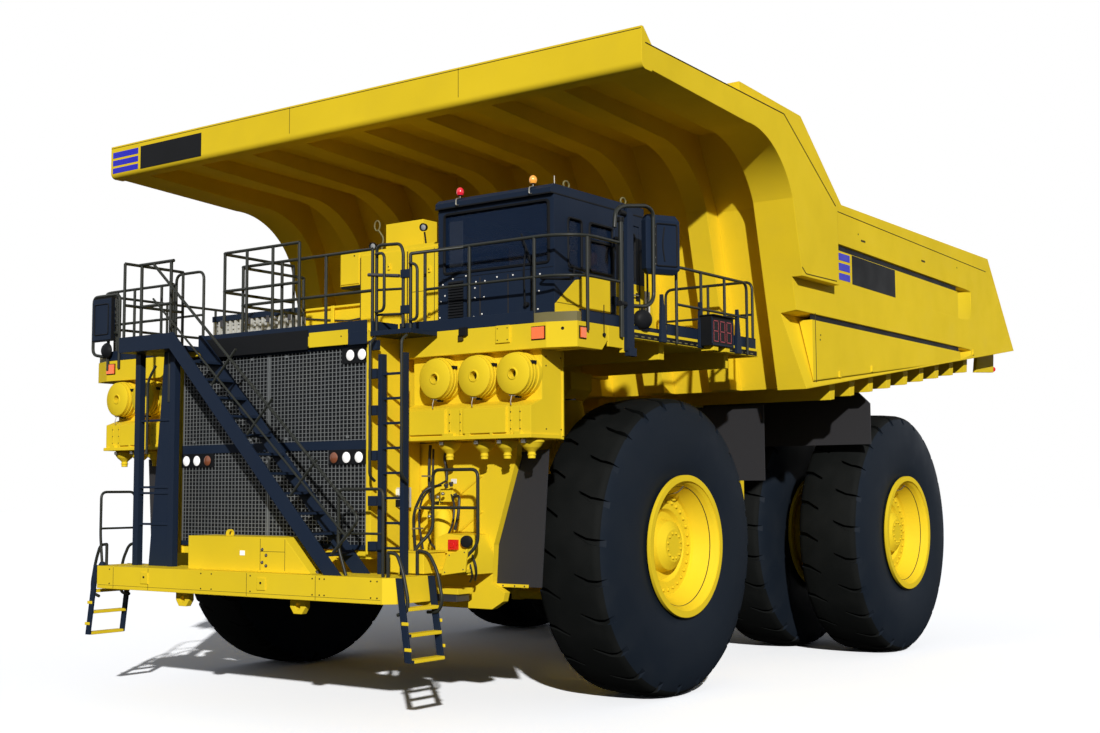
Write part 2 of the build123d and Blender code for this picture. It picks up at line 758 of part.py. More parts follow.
def boarding_steps():
    """Steps that hang from the bumper's end and lean outward, (left side)."""
    y0, y1 = front_axle_y - 4417, front_axle_y - 3830
    foot_z = 830
    lean = 150
    x0 = bumper_half_width
    outline = [(x0, bumper_top_z), (x0 + 90, bumper_top_z), (x0 + 90 + lean, foot_z),
               (x0 + lean, foot_z)]
    stiles = [front_plate(outline, y, y + 25) for y in (y0, y1 - 25)]
    slope = lean / (bumper_top_z - foot_z)
    rungs = []
    for z in (foot_z, foot_z + 290, foot_z + 580):
        x = x0 + slope * (bumper_top_z - z)
        rungs.append(block(x - 10, x + 120, y0 + 25, y1 - 25, z, z + 35))
    return fuse(stiles[0], stiles[1], *rungs)


def stanchion(place, height=500):
    """Tapered plate on the deck's side face that carries a guard rail."""
    y = front_axle_y + place
    z0 = deck_top_z - 110
    x = deck_side_x + seat_gap
    return side_plate([(y - 70, z0), (y + 70, z0), (y - 10, z0 + height), (y - 40, z0 + height)],
                      x, x + 2 * tube_radius)


def toe_boards():
    """Kick plates that stand on the edges of the decks under the guard rails."""
    y = front_axle_y
    t = 12
    low, high = deck_top_z + seat_gap, deck_top_z + toe_board
    front_y = grille_face_y - 69
    boards = [block(x0, x1, y0, y0 + t, low, high) for x0, x1, y0 in (
        (deck_inner_x, deck_face_x - 30, deck_face_y), (30 - deck_face_x, landing_x - 60, deck_face_y),
        (stair_top_x + 20, deck_inner_x - 20, front_y))]
    for y0, y1 in ((-3080, -2300), (-950, 850)):
        boards += both_sides(block(deck_side_x - t, deck_side_x, y + y0, y + y1, low, high))
    return boards


def guard_rails():
    """Guard rails round the decks, each run a flat frame on its posts, and the toe boards."""
    y = front_axle_y
    side = deck_side_x + tube_radius + seat_gap
    face = deck_face_y + tube_radius + 20
    front = grille_face_y - 69 + 12 + tube_radius + 1
    low = deck_top_z - deck_edge
    # start, end, foot, height, bays
    runs = (
        ((2200, face), (deck_face_x - 60, face), deck_top_z, 1040, 2),
        ((side, y - 3120), (side, y - 2300), low, 1150, 1),
        ((side, y - 1000), (side, y + 900), low, 1040, 2),
        ((deck_side_x - 30, deck_end_y - 60), (3000, deck_end_y - 60), deck_top_z, 1000, 2),
        ((-2450, face), (60 - deck_face_x, face), deck_top_z, 1040, 2),
        ((-side, y - 3120), (-side, y + 900), low, 1150, 4),
        ((30 - deck_side_x, deck_end_y - 60), (-3000, deck_end_y - 60), deck_top_z, 1000, 2),
        ((stair_top_x + 50, front), (deck_inner_x - 40, front), deck_top_z, 1080, 4),
    )
    rails = [guard_rail(*run) for run in runs]
    plates = [stanchion(place) for place in (-1340, -370, 640)]
    rails[2] = fuse(rails[2], *plates[1:])
    gate_x = landing_x + tube_radius
    rails.append(plates[0])
    rails.append(guard_rail((gate_x, stair_front_y + 60), (gate_x, deck_face_y - 40), deck_top_z, 1100, 2))
    rails.append(guard_rail((landing_x + 60, stair_front_y + 12 + tube_radius + 1),
                            (stair_top_x - 40, stair_front_y + 12 + tube_radius + 1), deck_top_z, 1150, 1))
    return rails + toe_boards()


def walkways():
    save("stairway", stairway())
    save("ladders", *ladders())
    save("boarding_steps", *both_sides(boarding_steps()))
    save("guard_rails", *guard_rails())


def mirror_arm(side):
    """A flat mirror and a round one on a tube loop at the deck's side."""
    y = front_axle_y
    d = tube_radius
    if side > 0:
        x = deck_side_x + d + seat_gap
        loop = guard_rail((x, y - 2240), (x, y - 1500), deck_top_z - 110, 1670, 1, (1.0, 0.3))
        mast = side_plate([(y - 2240, 4634), (y - 2000, 4634), (y - 2150, 6000), (y - 2240, 6000)],
                          x - d, x + d)
        head = block(x - 16, x + 44, y - 1500, y - 1080, 5600, 6280)
        spot = x_cylinder(x - 10, x + 60, y - 1820, 4900, 120)
        stalk = block(x - 12, x + 12, y - 1832, y - 1808, 4900, 5140)
        return fuse(loop, mast, head, spot, stalk)
    x1 = 290 - deck_face_x
    face = deck_face_y - d - seat_gap
    loop = guard_rail((x1 - 630, face), (x1, face), deck_top_z - 150, 1160, 2, (1.0, 0.36))
    head = block(-4330, -3880, face - 50, face - d, 5040, 5700)
    spot = y_cylinder(face - 60, face + d, -4040, 4900, 120)
    return fuse(loop, head, spot)


def payload_display():
    """Load display beside the left deck, on its bracket."""
    y = front_axle_y
    x = deck_side_x + seat_gap + 2 * tube_radius + 1
    screen = block(x, x + 170, y - 450, y + 450, 4660, 5050)
    hood = side_plate([(y - 470, 5050), (y - 470, 5070), (y + 470, 5070), (y + 470, 5050)], x, x + 210)
    brackets = [block(deck_side_x + seat_gap, x + 5, y + y0, y + y0 + 130, 4662, 4740)
                for y0 in (-260, 130)]
    return fuse(screen, hood, *brackets)


def lamps():
    """Headlamps on the grille, marker lamps on the deck skirts, beacons and tail lamps."""
    y = grille_face_y
    spots = []
    for side in (-1, 1):
        for x in (1187, 1403, 1616):
            spots.append(y_cylinder(y - 45, y, side * x, grille_bar_z - 97, 62))
        face = deck_face_y
        spots.append(block(side * 4000 - 90, side * 4000 + 90, face - 25, face - seat_gap, 4550, 4690))
    for x in (1460, 1660):
        spots.append(y_cylinder(y - 45, y, x, grille_top_z - 90, 58))
    for x in (2710, 3810):
        mast_y = cab_face_y + 150
        spots.append(fuse(z_cylinder(cab_roof_z, cab_roof_z + 60, x, mast_y, 30),
                          z_cylinder(cab_roof_z + 60, cab_roof_z + 180, x, mast_y, 55)))
    return spots


def fittings():
    save("mirror_left", mirror_arm(1))
    save("mirror_right", mirror_arm(-1))
    save("payload_display", payload_display())
    save("lamps", *lamps())


# ---- Cab ----------------------------------------------------------------------------
door_width = 580
door_rear_y = cab_rear_y - 120
door_front_y = door_rear_y - door_width
door_gap = 12
hinge_radius = 18
hinge_x = cab_side_x + hinge_radius
hinge_y = door_front_y - 40
hinge_length = 110
hinge_heights = (5000, 5850)
door_top_z = cab_roof_z - 260
window_top_z = cab_roof_z - 370
cab_floor_z = deck_top_z + cab_wall


def cab_panes(grow):
    """Window openings (grow true) or the panes that fill them."""
    mid = cab_wall / 2
    front = cab_face_y + mid
    rear = cab_rear_y - mid
    left = cab_side_x - mid
    right = cab_inner_x + mid
    d = mid + 10 if grow else glass_thickness / 2
    g = 0 if grow else seat_gap
    low, high = cab_sill_z + g, window_top_z - g
    front_high = cab_roof_z - 190 - g
    return [
        block(cab_inner_x + 100 + g, cab_side_x - 80 - g, front - d, front + d, low + 30, front_high),
        block(cab_inner_x + 200 + g, cab_side_x - 200 - g, rear - d, rear + d, low, high),
        block(left - d, left + d, cab_face_y + 290 + g, cab_face_y + 580 - g, low, high),
        block(left - d, left + d, cab_face_y + 750 + g, cab_face_y + 1270 - g, low, high),
        block(right - d, right + d, cab_face_y + 250 + g, cab_rear_y - 250 - g, low, high),
    ]


def cab_shell():
    """Floor, four walls and roof, with a seam between each panel and the next."""
    g = seat_gap
    wall_top_z = cab_roof_z - cab_roof - g
    low = cab_floor_z + g
    floor = block(cab_inner_x, cab_side_x, cab_face_y, cab_rear_y, deck_top_z, cab_floor_z)
    roof = side_plate([
        (cab_face_y - 60, cab_roof_z - cab_roof), (cab_face_y - 60, cab_roof_z - 50),
        (cab_face_y, cab_roof_z), (cab_rear_y, cab_roof_z), (cab_rear_y, cab_roof_z - cab_roof),
    ], cab_inner_x, cab_side_x)
    front = block(cab_inner_x, cab_side_x, cab_face_y, cab_face_y + cab_wall, low, wall_top_z)
    rear = block(cab_inner_x, cab_side_x, cab_rear_y - cab_wall, cab_rear_y, low, wall_top_z)
    y0, y1 = cab_face_y + cab_wall + g, cab_rear_y - cab_wall - g
    right = block(cab_inner_x, cab_inner_x + cab_wall, y0, y1, low, wall_top_z)
    left = block(cab_side_x - cab_wall, cab_side_x, y0, y1, low, wall_top_z)
    left -= block(cab_side_x - cab_wall - 10, cab_side_x + 10, door_front_y, door_rear_y, low - 1,
                  door_top_z)
    walls = [front, rear, left, right]
    for i, wall in enumerate(walls):
        for hole in cab_panes(True):
            walls[i] = walls[i] - hole
    for z in hinge_heights:
        pin = z_cylinder(z, z + hinge_length, hinge_x, hinge_y, hinge_radius)
        plate = block(cab_side_x, hinge_x, hinge_y - 60, hinge_y, z, z + hinge_length)
        walls[2] = fuse(walls[2], pin, plate)
    return [floor, roof, *walls]


def door_window(grow):
    """The door's window opening (grow true) or its pane."""
    mid = cab_side_x - cab_wall / 2
    d = cab_wall / 2 + 10 if grow else glass_thickness / 2
    g = 0 if grow else seat_gap
    return block(mid - d, mid + d, door_front_y + 190 + g, door_rear_y - 110 - g, cab_sill_z + g,
                 window_top_z - g)


def cab_door():
    panel = block(cab_side_x - cab_wall, cab_side_x, door_front_y + door_gap, door_rear_y - door_gap,
                  cab_floor_z + door_gap, door_top_z - door_gap)
    leaves = []
    for z in hinge_heights:
        low = z + hinge_length + seat_gap
        high = low + hinge_length
        leaves.append(z_cylinder(low, high, hinge_x, hinge_y, hinge_radius))
        leaves.append(block(hinge_x - 6, hinge_x + 6, hinge_y, door_front_y + door_gap + 60, low, high))
        leaves.append(block(cab_side_x, hinge_x + 6, door_front_y + door_gap + 20,
                            door_front_y + door_gap + 60, low, high))
    return fuse(panel - door_window(True), *leaves)


def cab_interior():
    """Two seats and the dashboard with its steering column."""
    y = front_axle_y
    parts = []
    seat_y = y - 1850
    for x in (2700, 3400):
        pedestal = block(x - 180, x + 180, seat_y - 180, seat_y + 180, cab_floor_z, cab_floor_z + 330)
        cushion = block(x - 250, x + 250, seat_y - 270, seat_y + 250, cab_floor_z + 330,
                        cab_floor_z + 470)
        back = side_plate([(seat_y + 180, cab_floor_z + 400), (seat_y + 300, cab_floor_z + 400),
                           (seat_y + 380, cab_floor_z + 1180), (seat_y + 290, cab_floor_z + 1180)],
                          x - 250, x + 250)
        parts.append(fuse(pedestal, cushion, back))
    dash_y = cab_face_y + 520
    dash = side_plate([
        (cab_face_y + cab_wall + 5, cab_floor_z), (cab_face_y + cab_wall + 5, cab_sill_z - 20),
        (dash_y, cab_sill_z - 40), (dash_y, cab_sill_z - 200), (dash_y - 150, cab_sill_z - 330),
        (dash_y - 150, cab_floor_z),
    ], cab_inner_x + 100, cab_side_x - 100)
    column = along((3400, dash_y - 60, 5300), (3400, dash_y + 200, 5510), 40)
    wheel = Plane(origin=(3400, dash_y + 190, 5500), z_dir=(0, 260, 210)) * extrude(
        Circle(225) - Circle(185) + Rectangle(380, 60), 35)
    parts.append(fuse(dash, column, wheel))
    return parts


def cab():
    save("cab_shell", *cab_shell())
    save("cab_glass", *cab_panes(False))
    save("cab_door", cab_door())
    save("cab_door_glass", door_window(False))
    save("cab_interior", *cab_interior())


# ---- Bed ----------------------------------------------------------------------------
roof_front_z = canopy_top_z - canopy_lip
roof_rear_z = roof_front_z - 100
fascia_bottom_z = canopy_top_z - canopy_fascia
arc_start_z = fascia_bottom_z - 115      # the canopy's lower edge turns down here
arc_end_z = arc_start_z - 810
arc_end_y = front_axle_y + 1310
bed_inner_x = bed_half_width - bed_wall
fascia_back_y = canopy_front_y + canopy_fascia_depth
rib_pitch = 1150
bolster_count = 9
bolster_depth = 250
bolster_first_y = front_axle_y + 3150
bolster_last_y = front_axle_y + 8900
beam_half = rail_width / 2
ear_thickness = 80
flap_clearance = 316               # from the rear tyres to the flaps ahead of them


def floor_z(y):
    """Underside of the bed floor at y."""
    return bed_front_z + (bed_tail_z - bed_front_z) * (y - bed_front_y) / (bed_tail_y - bed_front_y)


def prow_y(z):
    """Front edge of the bed's sides and ribs below the canopy's curve."""
    return bed_front_y + (arc_end_y - bed_front_y) * (z - bed_front_z) / (arc_end_z - bed_front_z)


def roof_z(y):
    """Top of the canopy's roof at y."""
    share = (y - canopy_front_y) / (canopy_rear_y - canopy_front_y)
    return roof_front_z + (roof_rear_z - roof_front_z) * share


def canopy_curve(x, inset, back):
    """Edges of a canopy rib at x: straight, arc, then down the prow, and up its back."""
    y = front_axle_y
    start = (x, y, arc_start_z + inset)
    arc_mid = (x, y + 880 + inset / 2, arc_start_z - 270 + inset / 2)
    arc_end = (x, arc_end_y + inset, arc_end_z)
    front = (x, fascia_back_y + seat_gap, fascia_bottom_z + inset + 20)
    return [Line(front, start), ThreePointArc(start, arc_mid, arc_end),
            *[Line(a, b) for a, b in zip([arc_end, *back], back)], Line(back[-1], front)]


def wedge(sections, outer_x, depth):
    """A recess cut that is deep at its top edge and runs out at its bottom edge.

    Each section is (y, top z, bottom z, share of the depth)."""
    faces = []
    for y, z1, z0, share in sections:
        faces.append(make_face(Polyline((outer_x + 5, y, z1), (outer_x - depth * share, y, z1 - 30),
                                        (outer_x + 5, y, z0), close=True)))
    return loft(faces, ruled=True)


def bed_side():
    """Left side: box-section wall with two long recesses, and the canopy's cheek."""
    y = front_axle_y
    cheek_y = y + 2790
    cheek_z = bed_rail_top_z - 100
    cheek_low_z = 5780
    inner, outer = bed_inner_x, bed_half_width
    wall = side_plate([
        (bed_front_y, bed_front_z), (bed_tail_y, bed_tail_z),
        (bed_tail_y - bed_tail_rake, bed_rail_top_z), (bed_rail_y, bed_rail_top_z),
        (y + 1950, canopy_top_z - 110), (canopy_rear_y, canopy_top_z - 70),
        (canopy_rear_y, arc_end_z + 400), (arc_end_y, arc_end_z),
    ], inner, outer)
    back = [(inner, prow_y(cheek_low_z), cheek_low_z), (inner, cheek_y, cheek_low_z),
            (inner, cheek_y, cheek_z), (inner, canopy_rear_y, roof_rear_z),
            (inner, fascia_back_y + seat_gap, roof_z(fascia_back_y))]
    cheek = extrude(make_face(canopy_curve(inner, 0, back)), amount=canopy_half_width - inner,
                    dir=(1, 0, 0))
    spill_rail = side_plate([
        (y + 100, roof_z(y + 100) + 5), (y + 100, canopy_top_z - 20),
        (canopy_rear_y + 10, canopy_top_z - 70),
        (canopy_rear_y + 10, roof_rear_z),
    ], outer - 200, outer)
    ledge_z = 5310
    lower = wedge([(bed_front_y - 600, ledge_z + 10, bed_front_z - 80, 1),
                   (y + 8290, ledge_z - 25, floor_z(y + 8290) + 20, 1),
                   (y + 8800, ledge_z - 30, floor_z(y + 8800) + 60, 0.1)], outer, 250)
    upper = wedge([(y + 2700, 6480, 5870, 1), (y + 8250, 6382, 5790, 1), (y + 8880, 6370, 5780, 0.05)],
                  outer, 200)
    return fuse(wall, cheek, spill_rail) - lower - (upper - block(
        inner, canopy_half_width + 10, y, cheek_y, bed_front_z, canopy_top_z))


def fascia():
    """The canopy's front beam, with a rounded lower edge."""
    y = canopy_front_y
    x = -canopy_half_width
    radius = 90
    z0 = fascia_bottom_z
    points = [(x, y, z0 + radius), (x, y, canopy_top_z), (x, y + 40, canopy_top_z),
              (x, fascia_back_y, roof_z(fascia_back_y)), (x, fascia_back_y, z0), (x, y + radius, z0)]
    edges = [Line(a, b) for a, b in zip(points, points[1:])]
    bend = 0.29 * radius
    edges.append(ThreePointArc(points[-1], (x, y + bend, z0 + bend), points[0]))
    return extrude(make_face(edges), amount=2 * canopy_half_width, dir=(1, 0, 0))


def headboard_line():
    """Front face of the headboard, (y, z) from the floor to the roof."""
    floor_y = bed_front_y + bed_rib_depth
    return [(floor_y, floor_z(floor_y)), (arc_end_y + bed_rib_depth, arc_end_z),
            (canopy_rear_y, roof_rear_z - canopy_plate - seat_gap)]


def bed_shell():
    """Floor, headboard, two sides, canopy roof and fascia, with a seam between panels."""
    half = bed_inner_x - seat_gap
    thick = bed_floor_thickness
    front = headboard_line()
    board = side_plate(front + [(y + 110, z) for y, z in reversed(front)], -half, half)
    y0 = front[0][0] + 110 + seat_gap
    tail = bed_tail_y
    floor = side_plate([
        (y0, floor_z(y0)), (tail, bed_tail_z), (tail - 30, bed_tail_z + thick),
        (y0, floor_z(y0) + thick)], -half, half)
    y1 = fascia_back_y + seat_gap
    roof = side_plate([
        (y1, roof_z(y1)), (canopy_rear_y, roof_rear_z), (canopy_rear_y + 110, roof_rear_z - canopy_plate),
        (canopy_rear_y, roof_rear_z - canopy_plate), (y1, roof_z(y1) - canopy_plate)], -half, half)
    side = bed_side()
    return [floor, board, roof, fascia(), side, mirrored(side)]


def canopy_ribs():
    """Curved box ribs under the canopy and down the front of the headboard."""
    half = bed_rib_width / 2
    inset = 30
    ribs = []
    g = seat_gap
    line = headboard_line()
    for i in range(-3, 4):
        x = i * rib_pitch - half
        foot_z = line[0][1]
        back = [(x, prow_y(foot_z) + inset, foot_z), (x, line[0][0] - g, foot_z),
                (x, line[1][0] - g, line[1][1]), (x, line[2][0] - g, line[2][1]),
                (x, fascia_back_y + g, roof_z(fascia_back_y) - canopy_plate - 2 * g)]
        ribs.append(extrude(make_face(canopy_curve(x, inset, back)), amount=2 * half, dir=(1, 0, 0)))
    return ribs


def bed_beams():
    """Long beams under the floor, with the pivot ears and the hoist ears."""
    y = front_axle_y
    pad_z = rail_seat_z + seat_gap
    g = seat_gap
    ridge = [(y + 2600, floor_z(y + 2600) - g), (y + 9300, floor_z(y + 9300) - g)]
    beam = side_plate([
        ridge[0], (y + 2600, 3850), (rear_axle_y - 850, pad_z), (bed_pivot_y - 250, pad_z),
        (bed_pivot_y + 500, 4300), ridge[1],
    ], rail_x - beam_half, rail_x + beam_half)
    ears = []
    for x0 in (rail_x - beam_half - ear_thickness - 10, rail_x + beam_half + 10):
        ear = side_plate([
            (bed_pivot_y - 320, 3900), (bed_pivot_y - 190, bed_pivot_z - 100),
            (bed_pivot_y - 110, bed_pivot_z - 180), (bed_pivot_y + 110, bed_pivot_z - 180),
            (bed_pivot_y + 190, bed_pivot_z - 100), (bed_pivot_y + 320, 3900),
        ], x0, x0 + ear_thickness)
        ears.append(ear - x_cylinder(x0 - 10, x0 + ear_thickness + 10, bed_pivot_y, bed_pivot_z,
                                     bed_pin_radius + bore_clearance))
    bridge = block(rail_x - beam_half - ear_thickness - 10, rail_x + beam_half + ear_thickness + 10,
                   bed_pivot_y - 300, bed_pivot_y + 300, 3750, 3900)
    hoist_seat = side_plate([
        (hoist_head_y - 160, floor_z(hoist_head_y - 160) - g), (hoist_head_y - 160, 4260),
        (hoist_head_y + 160, 4260), (hoist_head_y + 160, floor_z(hoist_head_y + 160) - g),
    ], rail_x + beam_half, hoist_x + hoist_eye_half + 60)
    for x0 in (hoist_x - hoist_eye_half - 50, hoist_x + hoist_eye_half + 10):
        ears.append(block(x0, x0 + 40, hoist_head_y - 130, hoist_head_y + 130, hoist_head_z - 130, 4270))
    left = fuse(beam, bridge, hoist_seat, *ears)
    return both_sides(left)


def bed_bolsters():
    """Cross ribs under the floor, between and outside the long beams, and the lamp brackets."""
    pitch = (bolster_last_y - bolster_first_y) / (bolster_count - 1)
    g = seat_gap
    pieces = []
    inner, outer = rail_x - beam_half - 2 * g, rail_x + beam_half + 2 * g
    for i in range(bolster_count):
        b = bolster_first_y + i * pitch
        outline = [(b - 110, floor_z(b - 110) - g), (b - 70, floor_z(b - 70) - bolster_depth),
                   (b + 70, floor_z(b + 70) - bolster_depth), (b + 110, floor_z(b + 110) - g)]
        pieces.append(side_plate(outline, -inner, inner))
        pieces += both_sides(side_plate(outline, outer, bed_half_width - 150))
    y = front_axle_y
    bracket = side_plate([
        (y + 10150, floor_z(y + 10150) - g), (y + 10050, 4960), (y + 11050, 5020),
        (y + 11100, floor_z(y + 11100) - g),
    ], bed_half_width - 420, bed_half_width - 360)
    return pieces + both_sides(bracket)


def bed_mud_flaps():
    """Rubber flaps that hang from the bed ahead of the rear tyres."""
    foot_z = 3480
    reach = sqrt(tyre_radius ** 2 - (foot_z - axle_z) ** 2)
    y = rear_axle_y - reach - flap_clearance
    top = floor_z(y) - bolster_depth - 20
    flap = front_plate([
        (1450, foot_z), (4540, foot_z), (4540, 4140), (4340, top), (1450, top),
    ], y, y + 25)
    hangers = [block(x - 30, x + 30, y + 2, y + 23, top, floor_z(y) - seat_gap) for x in (1600, 2900, 4200)]
    return both_sides(fuse(flap, *hangers))


def bed():
    save("bed_shell", *bed_shell())
    save("bed_beams", *bed_beams())
    save("bed_bolsters", *bed_bolsters())
    save("canopy_ribs", *canopy_ribs())
    save("bed_mud_flaps", *bed_mud_flaps())


# ---- Hoists -------------------------------------------------------------------------
def hoist_parts():
    foot = (hoist_x, hoist_foot_y, hoist_foot_z)
    head = (hoist_x, hoist_head_y, hoist_head_z)
    length = (Vector(*head) - Vector(*foot)).length
    eye = 120
    foot_eye = x_cylinder(hoist_x - hoist_eye_half, hoist_x + hoist_eye_half, hoist_foot_y,
                          hoist_foot_z, eye)
    barrel = along(foot, head, hoist_radius, 100, length - 260)
    barrel = fuse(barrel, foot_eye) - along(foot, head, 150 + bore_clearance, 200, length)
    stage = along(foot, head, 150, 200, length - 200) - along(foot, head, 115 + bore_clearance, 300,
                                                              length)
    rod = along(foot, head, 115, 320, length - 60)
    rod = fuse(rod, x_cylinder(hoist_x - hoist_eye_half, hoist_x + hoist_eye_half, hoist_head_y,
                               hoist_head_z, eye))
    return barrel, stage, rod


def hoists():
    barrel, stage, rod = hoist_parts()
    save("hoist_barrels", *both_sides(barrel))
    save("hoist_stages", *both_sides(stage))
    save("hoist_rods", *both_sides(rod))


front_wheels()
rear_wheels()
front_axle()
structure()
front_end()
decks()
walkways()
fittings()
cab()
bed()
hoists()
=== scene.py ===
import math
from functools import partial

import bmesh
import bpy
from mathutils import Matrix, Vector


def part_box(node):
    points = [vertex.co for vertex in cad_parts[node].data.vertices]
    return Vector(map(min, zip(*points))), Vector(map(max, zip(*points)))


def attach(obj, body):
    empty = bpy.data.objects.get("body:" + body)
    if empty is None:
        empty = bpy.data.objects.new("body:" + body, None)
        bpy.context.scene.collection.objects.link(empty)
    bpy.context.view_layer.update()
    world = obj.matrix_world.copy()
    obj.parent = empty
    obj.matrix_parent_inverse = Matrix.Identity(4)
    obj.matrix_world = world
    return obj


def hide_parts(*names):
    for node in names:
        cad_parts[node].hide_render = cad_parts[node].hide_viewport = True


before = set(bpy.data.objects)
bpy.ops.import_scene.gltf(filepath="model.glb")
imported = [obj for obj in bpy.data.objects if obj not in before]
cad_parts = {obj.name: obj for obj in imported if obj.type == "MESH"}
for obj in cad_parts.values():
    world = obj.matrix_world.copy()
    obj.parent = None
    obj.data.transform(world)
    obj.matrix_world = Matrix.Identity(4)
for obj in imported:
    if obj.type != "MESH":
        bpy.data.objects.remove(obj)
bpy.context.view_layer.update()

bl_info = {
    "name": "Mining Dump Truck",
    "version": (1, 0, 0),
    "blender": (4, 5, 0),
    "location": "View3D > Sidebar > Truck",
    "description": "Dresses the rigid-frame dump truck: tyres, grille, rails, cab, decks, bed and stage",
    "category": "Add Mesh",
}

# ---- Places taken from the frame, in metres; an axle's place is along Y ---------------
AXLE = sum(p.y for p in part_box("front_tyre_left")) / 2
REAR_AXLE = sum(p.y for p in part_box("rear_tyres_left")) / 2
TYRE_LOW, TYRE_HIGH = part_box("front_tyre_left")
HUB_Z = (TYRE_LOW.z + TYRE_HIGH.z) / 2
BUMPER_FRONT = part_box("front_bumper")[0].y
BUMPER_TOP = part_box("boarding_steps")[1].z
DECK_INNER, DECK_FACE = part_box("deck_left")[0].xy
DECK_SIDE, DECK_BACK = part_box("deck_left")[1].xy
DECK_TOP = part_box("cab_shell")[0].z
GRILLE_LOW, GRILLE_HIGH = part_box("radiator_grille")
CANOPY_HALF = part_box("bed_shell")[1].x
BED_HALF = 4.87
STAIR_TOP, STAIR_FOOT = -1.30, 1.61
BUMPER_UNDER = 1.482
GATE_TOP, GATE_MIDDLE = 5.93, 5.35
CANISTER_Z = 4.15

# facings: forward is -Y, across is towards the cab's side
FORWARD, BACKWARD, UP, DOWN, ACROSS = (0, -1, 0), (0, 1, 0), (0, 0, 1), (0, 0, -1), (1, 0, 0)

BLACK = (0.010, 0.011, 0.013)
SEAM = (0.05, 0.035, 0.008)
GREY = (0.50, 0.51, 0.50)
WIRE = (0.20, 0.215, 0.225)
RUBBER = (0.010, 0.015, 0.024)
TREAD = (0.007, 0.008, 0.008)


def behind(distance):
    """The frame's Y at this distance behind the front axle."""
    return AXLE + distance


# ---- Materials -------------------------------------------------------------------------
def weathering():
    """Node group: mottled colour, dust that gathers in patches, uneven gloss and fine grain."""
    name = "Weathering"
    if name in bpy.data.node_groups:
        return bpy.data.node_groups[name]
    group = bpy.data.node_groups.new(name, "ShaderNodeTree")
    sockets = group.interface
    sockets.new_socket("Base", in_out="INPUT", socket_type="NodeSocketColor")
    sockets.new_socket("Dust", in_out="INPUT", socket_type="NodeSocketColor")
    for label, value in (("Dust Amount", 0.2), ("Gloss", 0.4), ("Scale", 1.0)):
        item = sockets.new_socket(label, in_out="INPUT", socket_type="NodeSocketFloat")
        item.default_value = value
    sockets.new_socket("Color", in_out="OUTPUT", socket_type="NodeSocketColor")
    sockets.new_socket("Roughness", in_out="OUTPUT", socket_type="NodeSocketFloat")
    sockets.new_socket("Height", in_out="OUTPUT", socket_type="NodeSocketFloat")
    nodes, link = group.nodes, group.links.new
    given, result = nodes.new("NodeGroupInput"), nodes.new("NodeGroupOutput")
    place = nodes.new("ShaderNodeTexCoord")
    scaled = nodes.new("ShaderNodeVectorMath")
    scaled.operation = "SCALE"
    link(place.outputs["Object"], scaled.inputs[0])
    link(given.outputs["Scale"], scaled.inputs["Scale"])

    def noise(scale, detail):
        node = nodes.new("ShaderNodeTexNoise")
        node.inputs["Scale"].default_value = scale
        node.inputs["Detail"].default_value = detail
        link(scaled.outputs[0], node.inputs["Vector"])
        return node.outputs["Fac"]

    def spread(value, low, high, out_low, out_high):
        node = nodes.new("ShaderNodeMapRange")
        for i, v in enumerate((low, high, out_low, out_high), 1):
            node.inputs[i].default_value = v
        link(value, node.inputs[0])
        return node.outputs[0]

    broad, patches, grain = noise(0.7, 3), noise(2.3, 6), noise(90, 2)
    tone = nodes.new("ShaderNodeHueSaturation")
    link(spread(broad, 0.3, 0.7, 0.95, 1.05), tone.inputs["Value"])
    link(given.outputs["Base"], tone.inputs["Color"])
    amount = nodes.new("ShaderNodeMath")
    amount.operation = "MULTIPLY"
    link(spread(patches, 0.45, 0.8, 0.0, 1.0), amount.inputs[0])
    link(given.outputs["Dust Amount"], amount.inputs[1])
    mixed = nodes.new("ShaderNodeMix")
    mixed.data_type = "RGBA"
    link(amount.outputs[0], mixed.inputs["Factor"])
    link(tone.outputs["Color"], mixed.inputs[6])
    link(given.outputs["Dust"], mixed.inputs[7])
    link(mixed.outputs[2], result.inputs["Color"])
    rough = nodes.new("ShaderNodeMath")
    link(given.outputs["Gloss"], rough.inputs[0])
    link(spread(patches, 0.3, 0.8, -0.04, 0.16), rough.inputs[1])
    link(rough.outputs[0], result.inputs["Roughness"])
    link(grain, result.inputs["Height"])
    return group


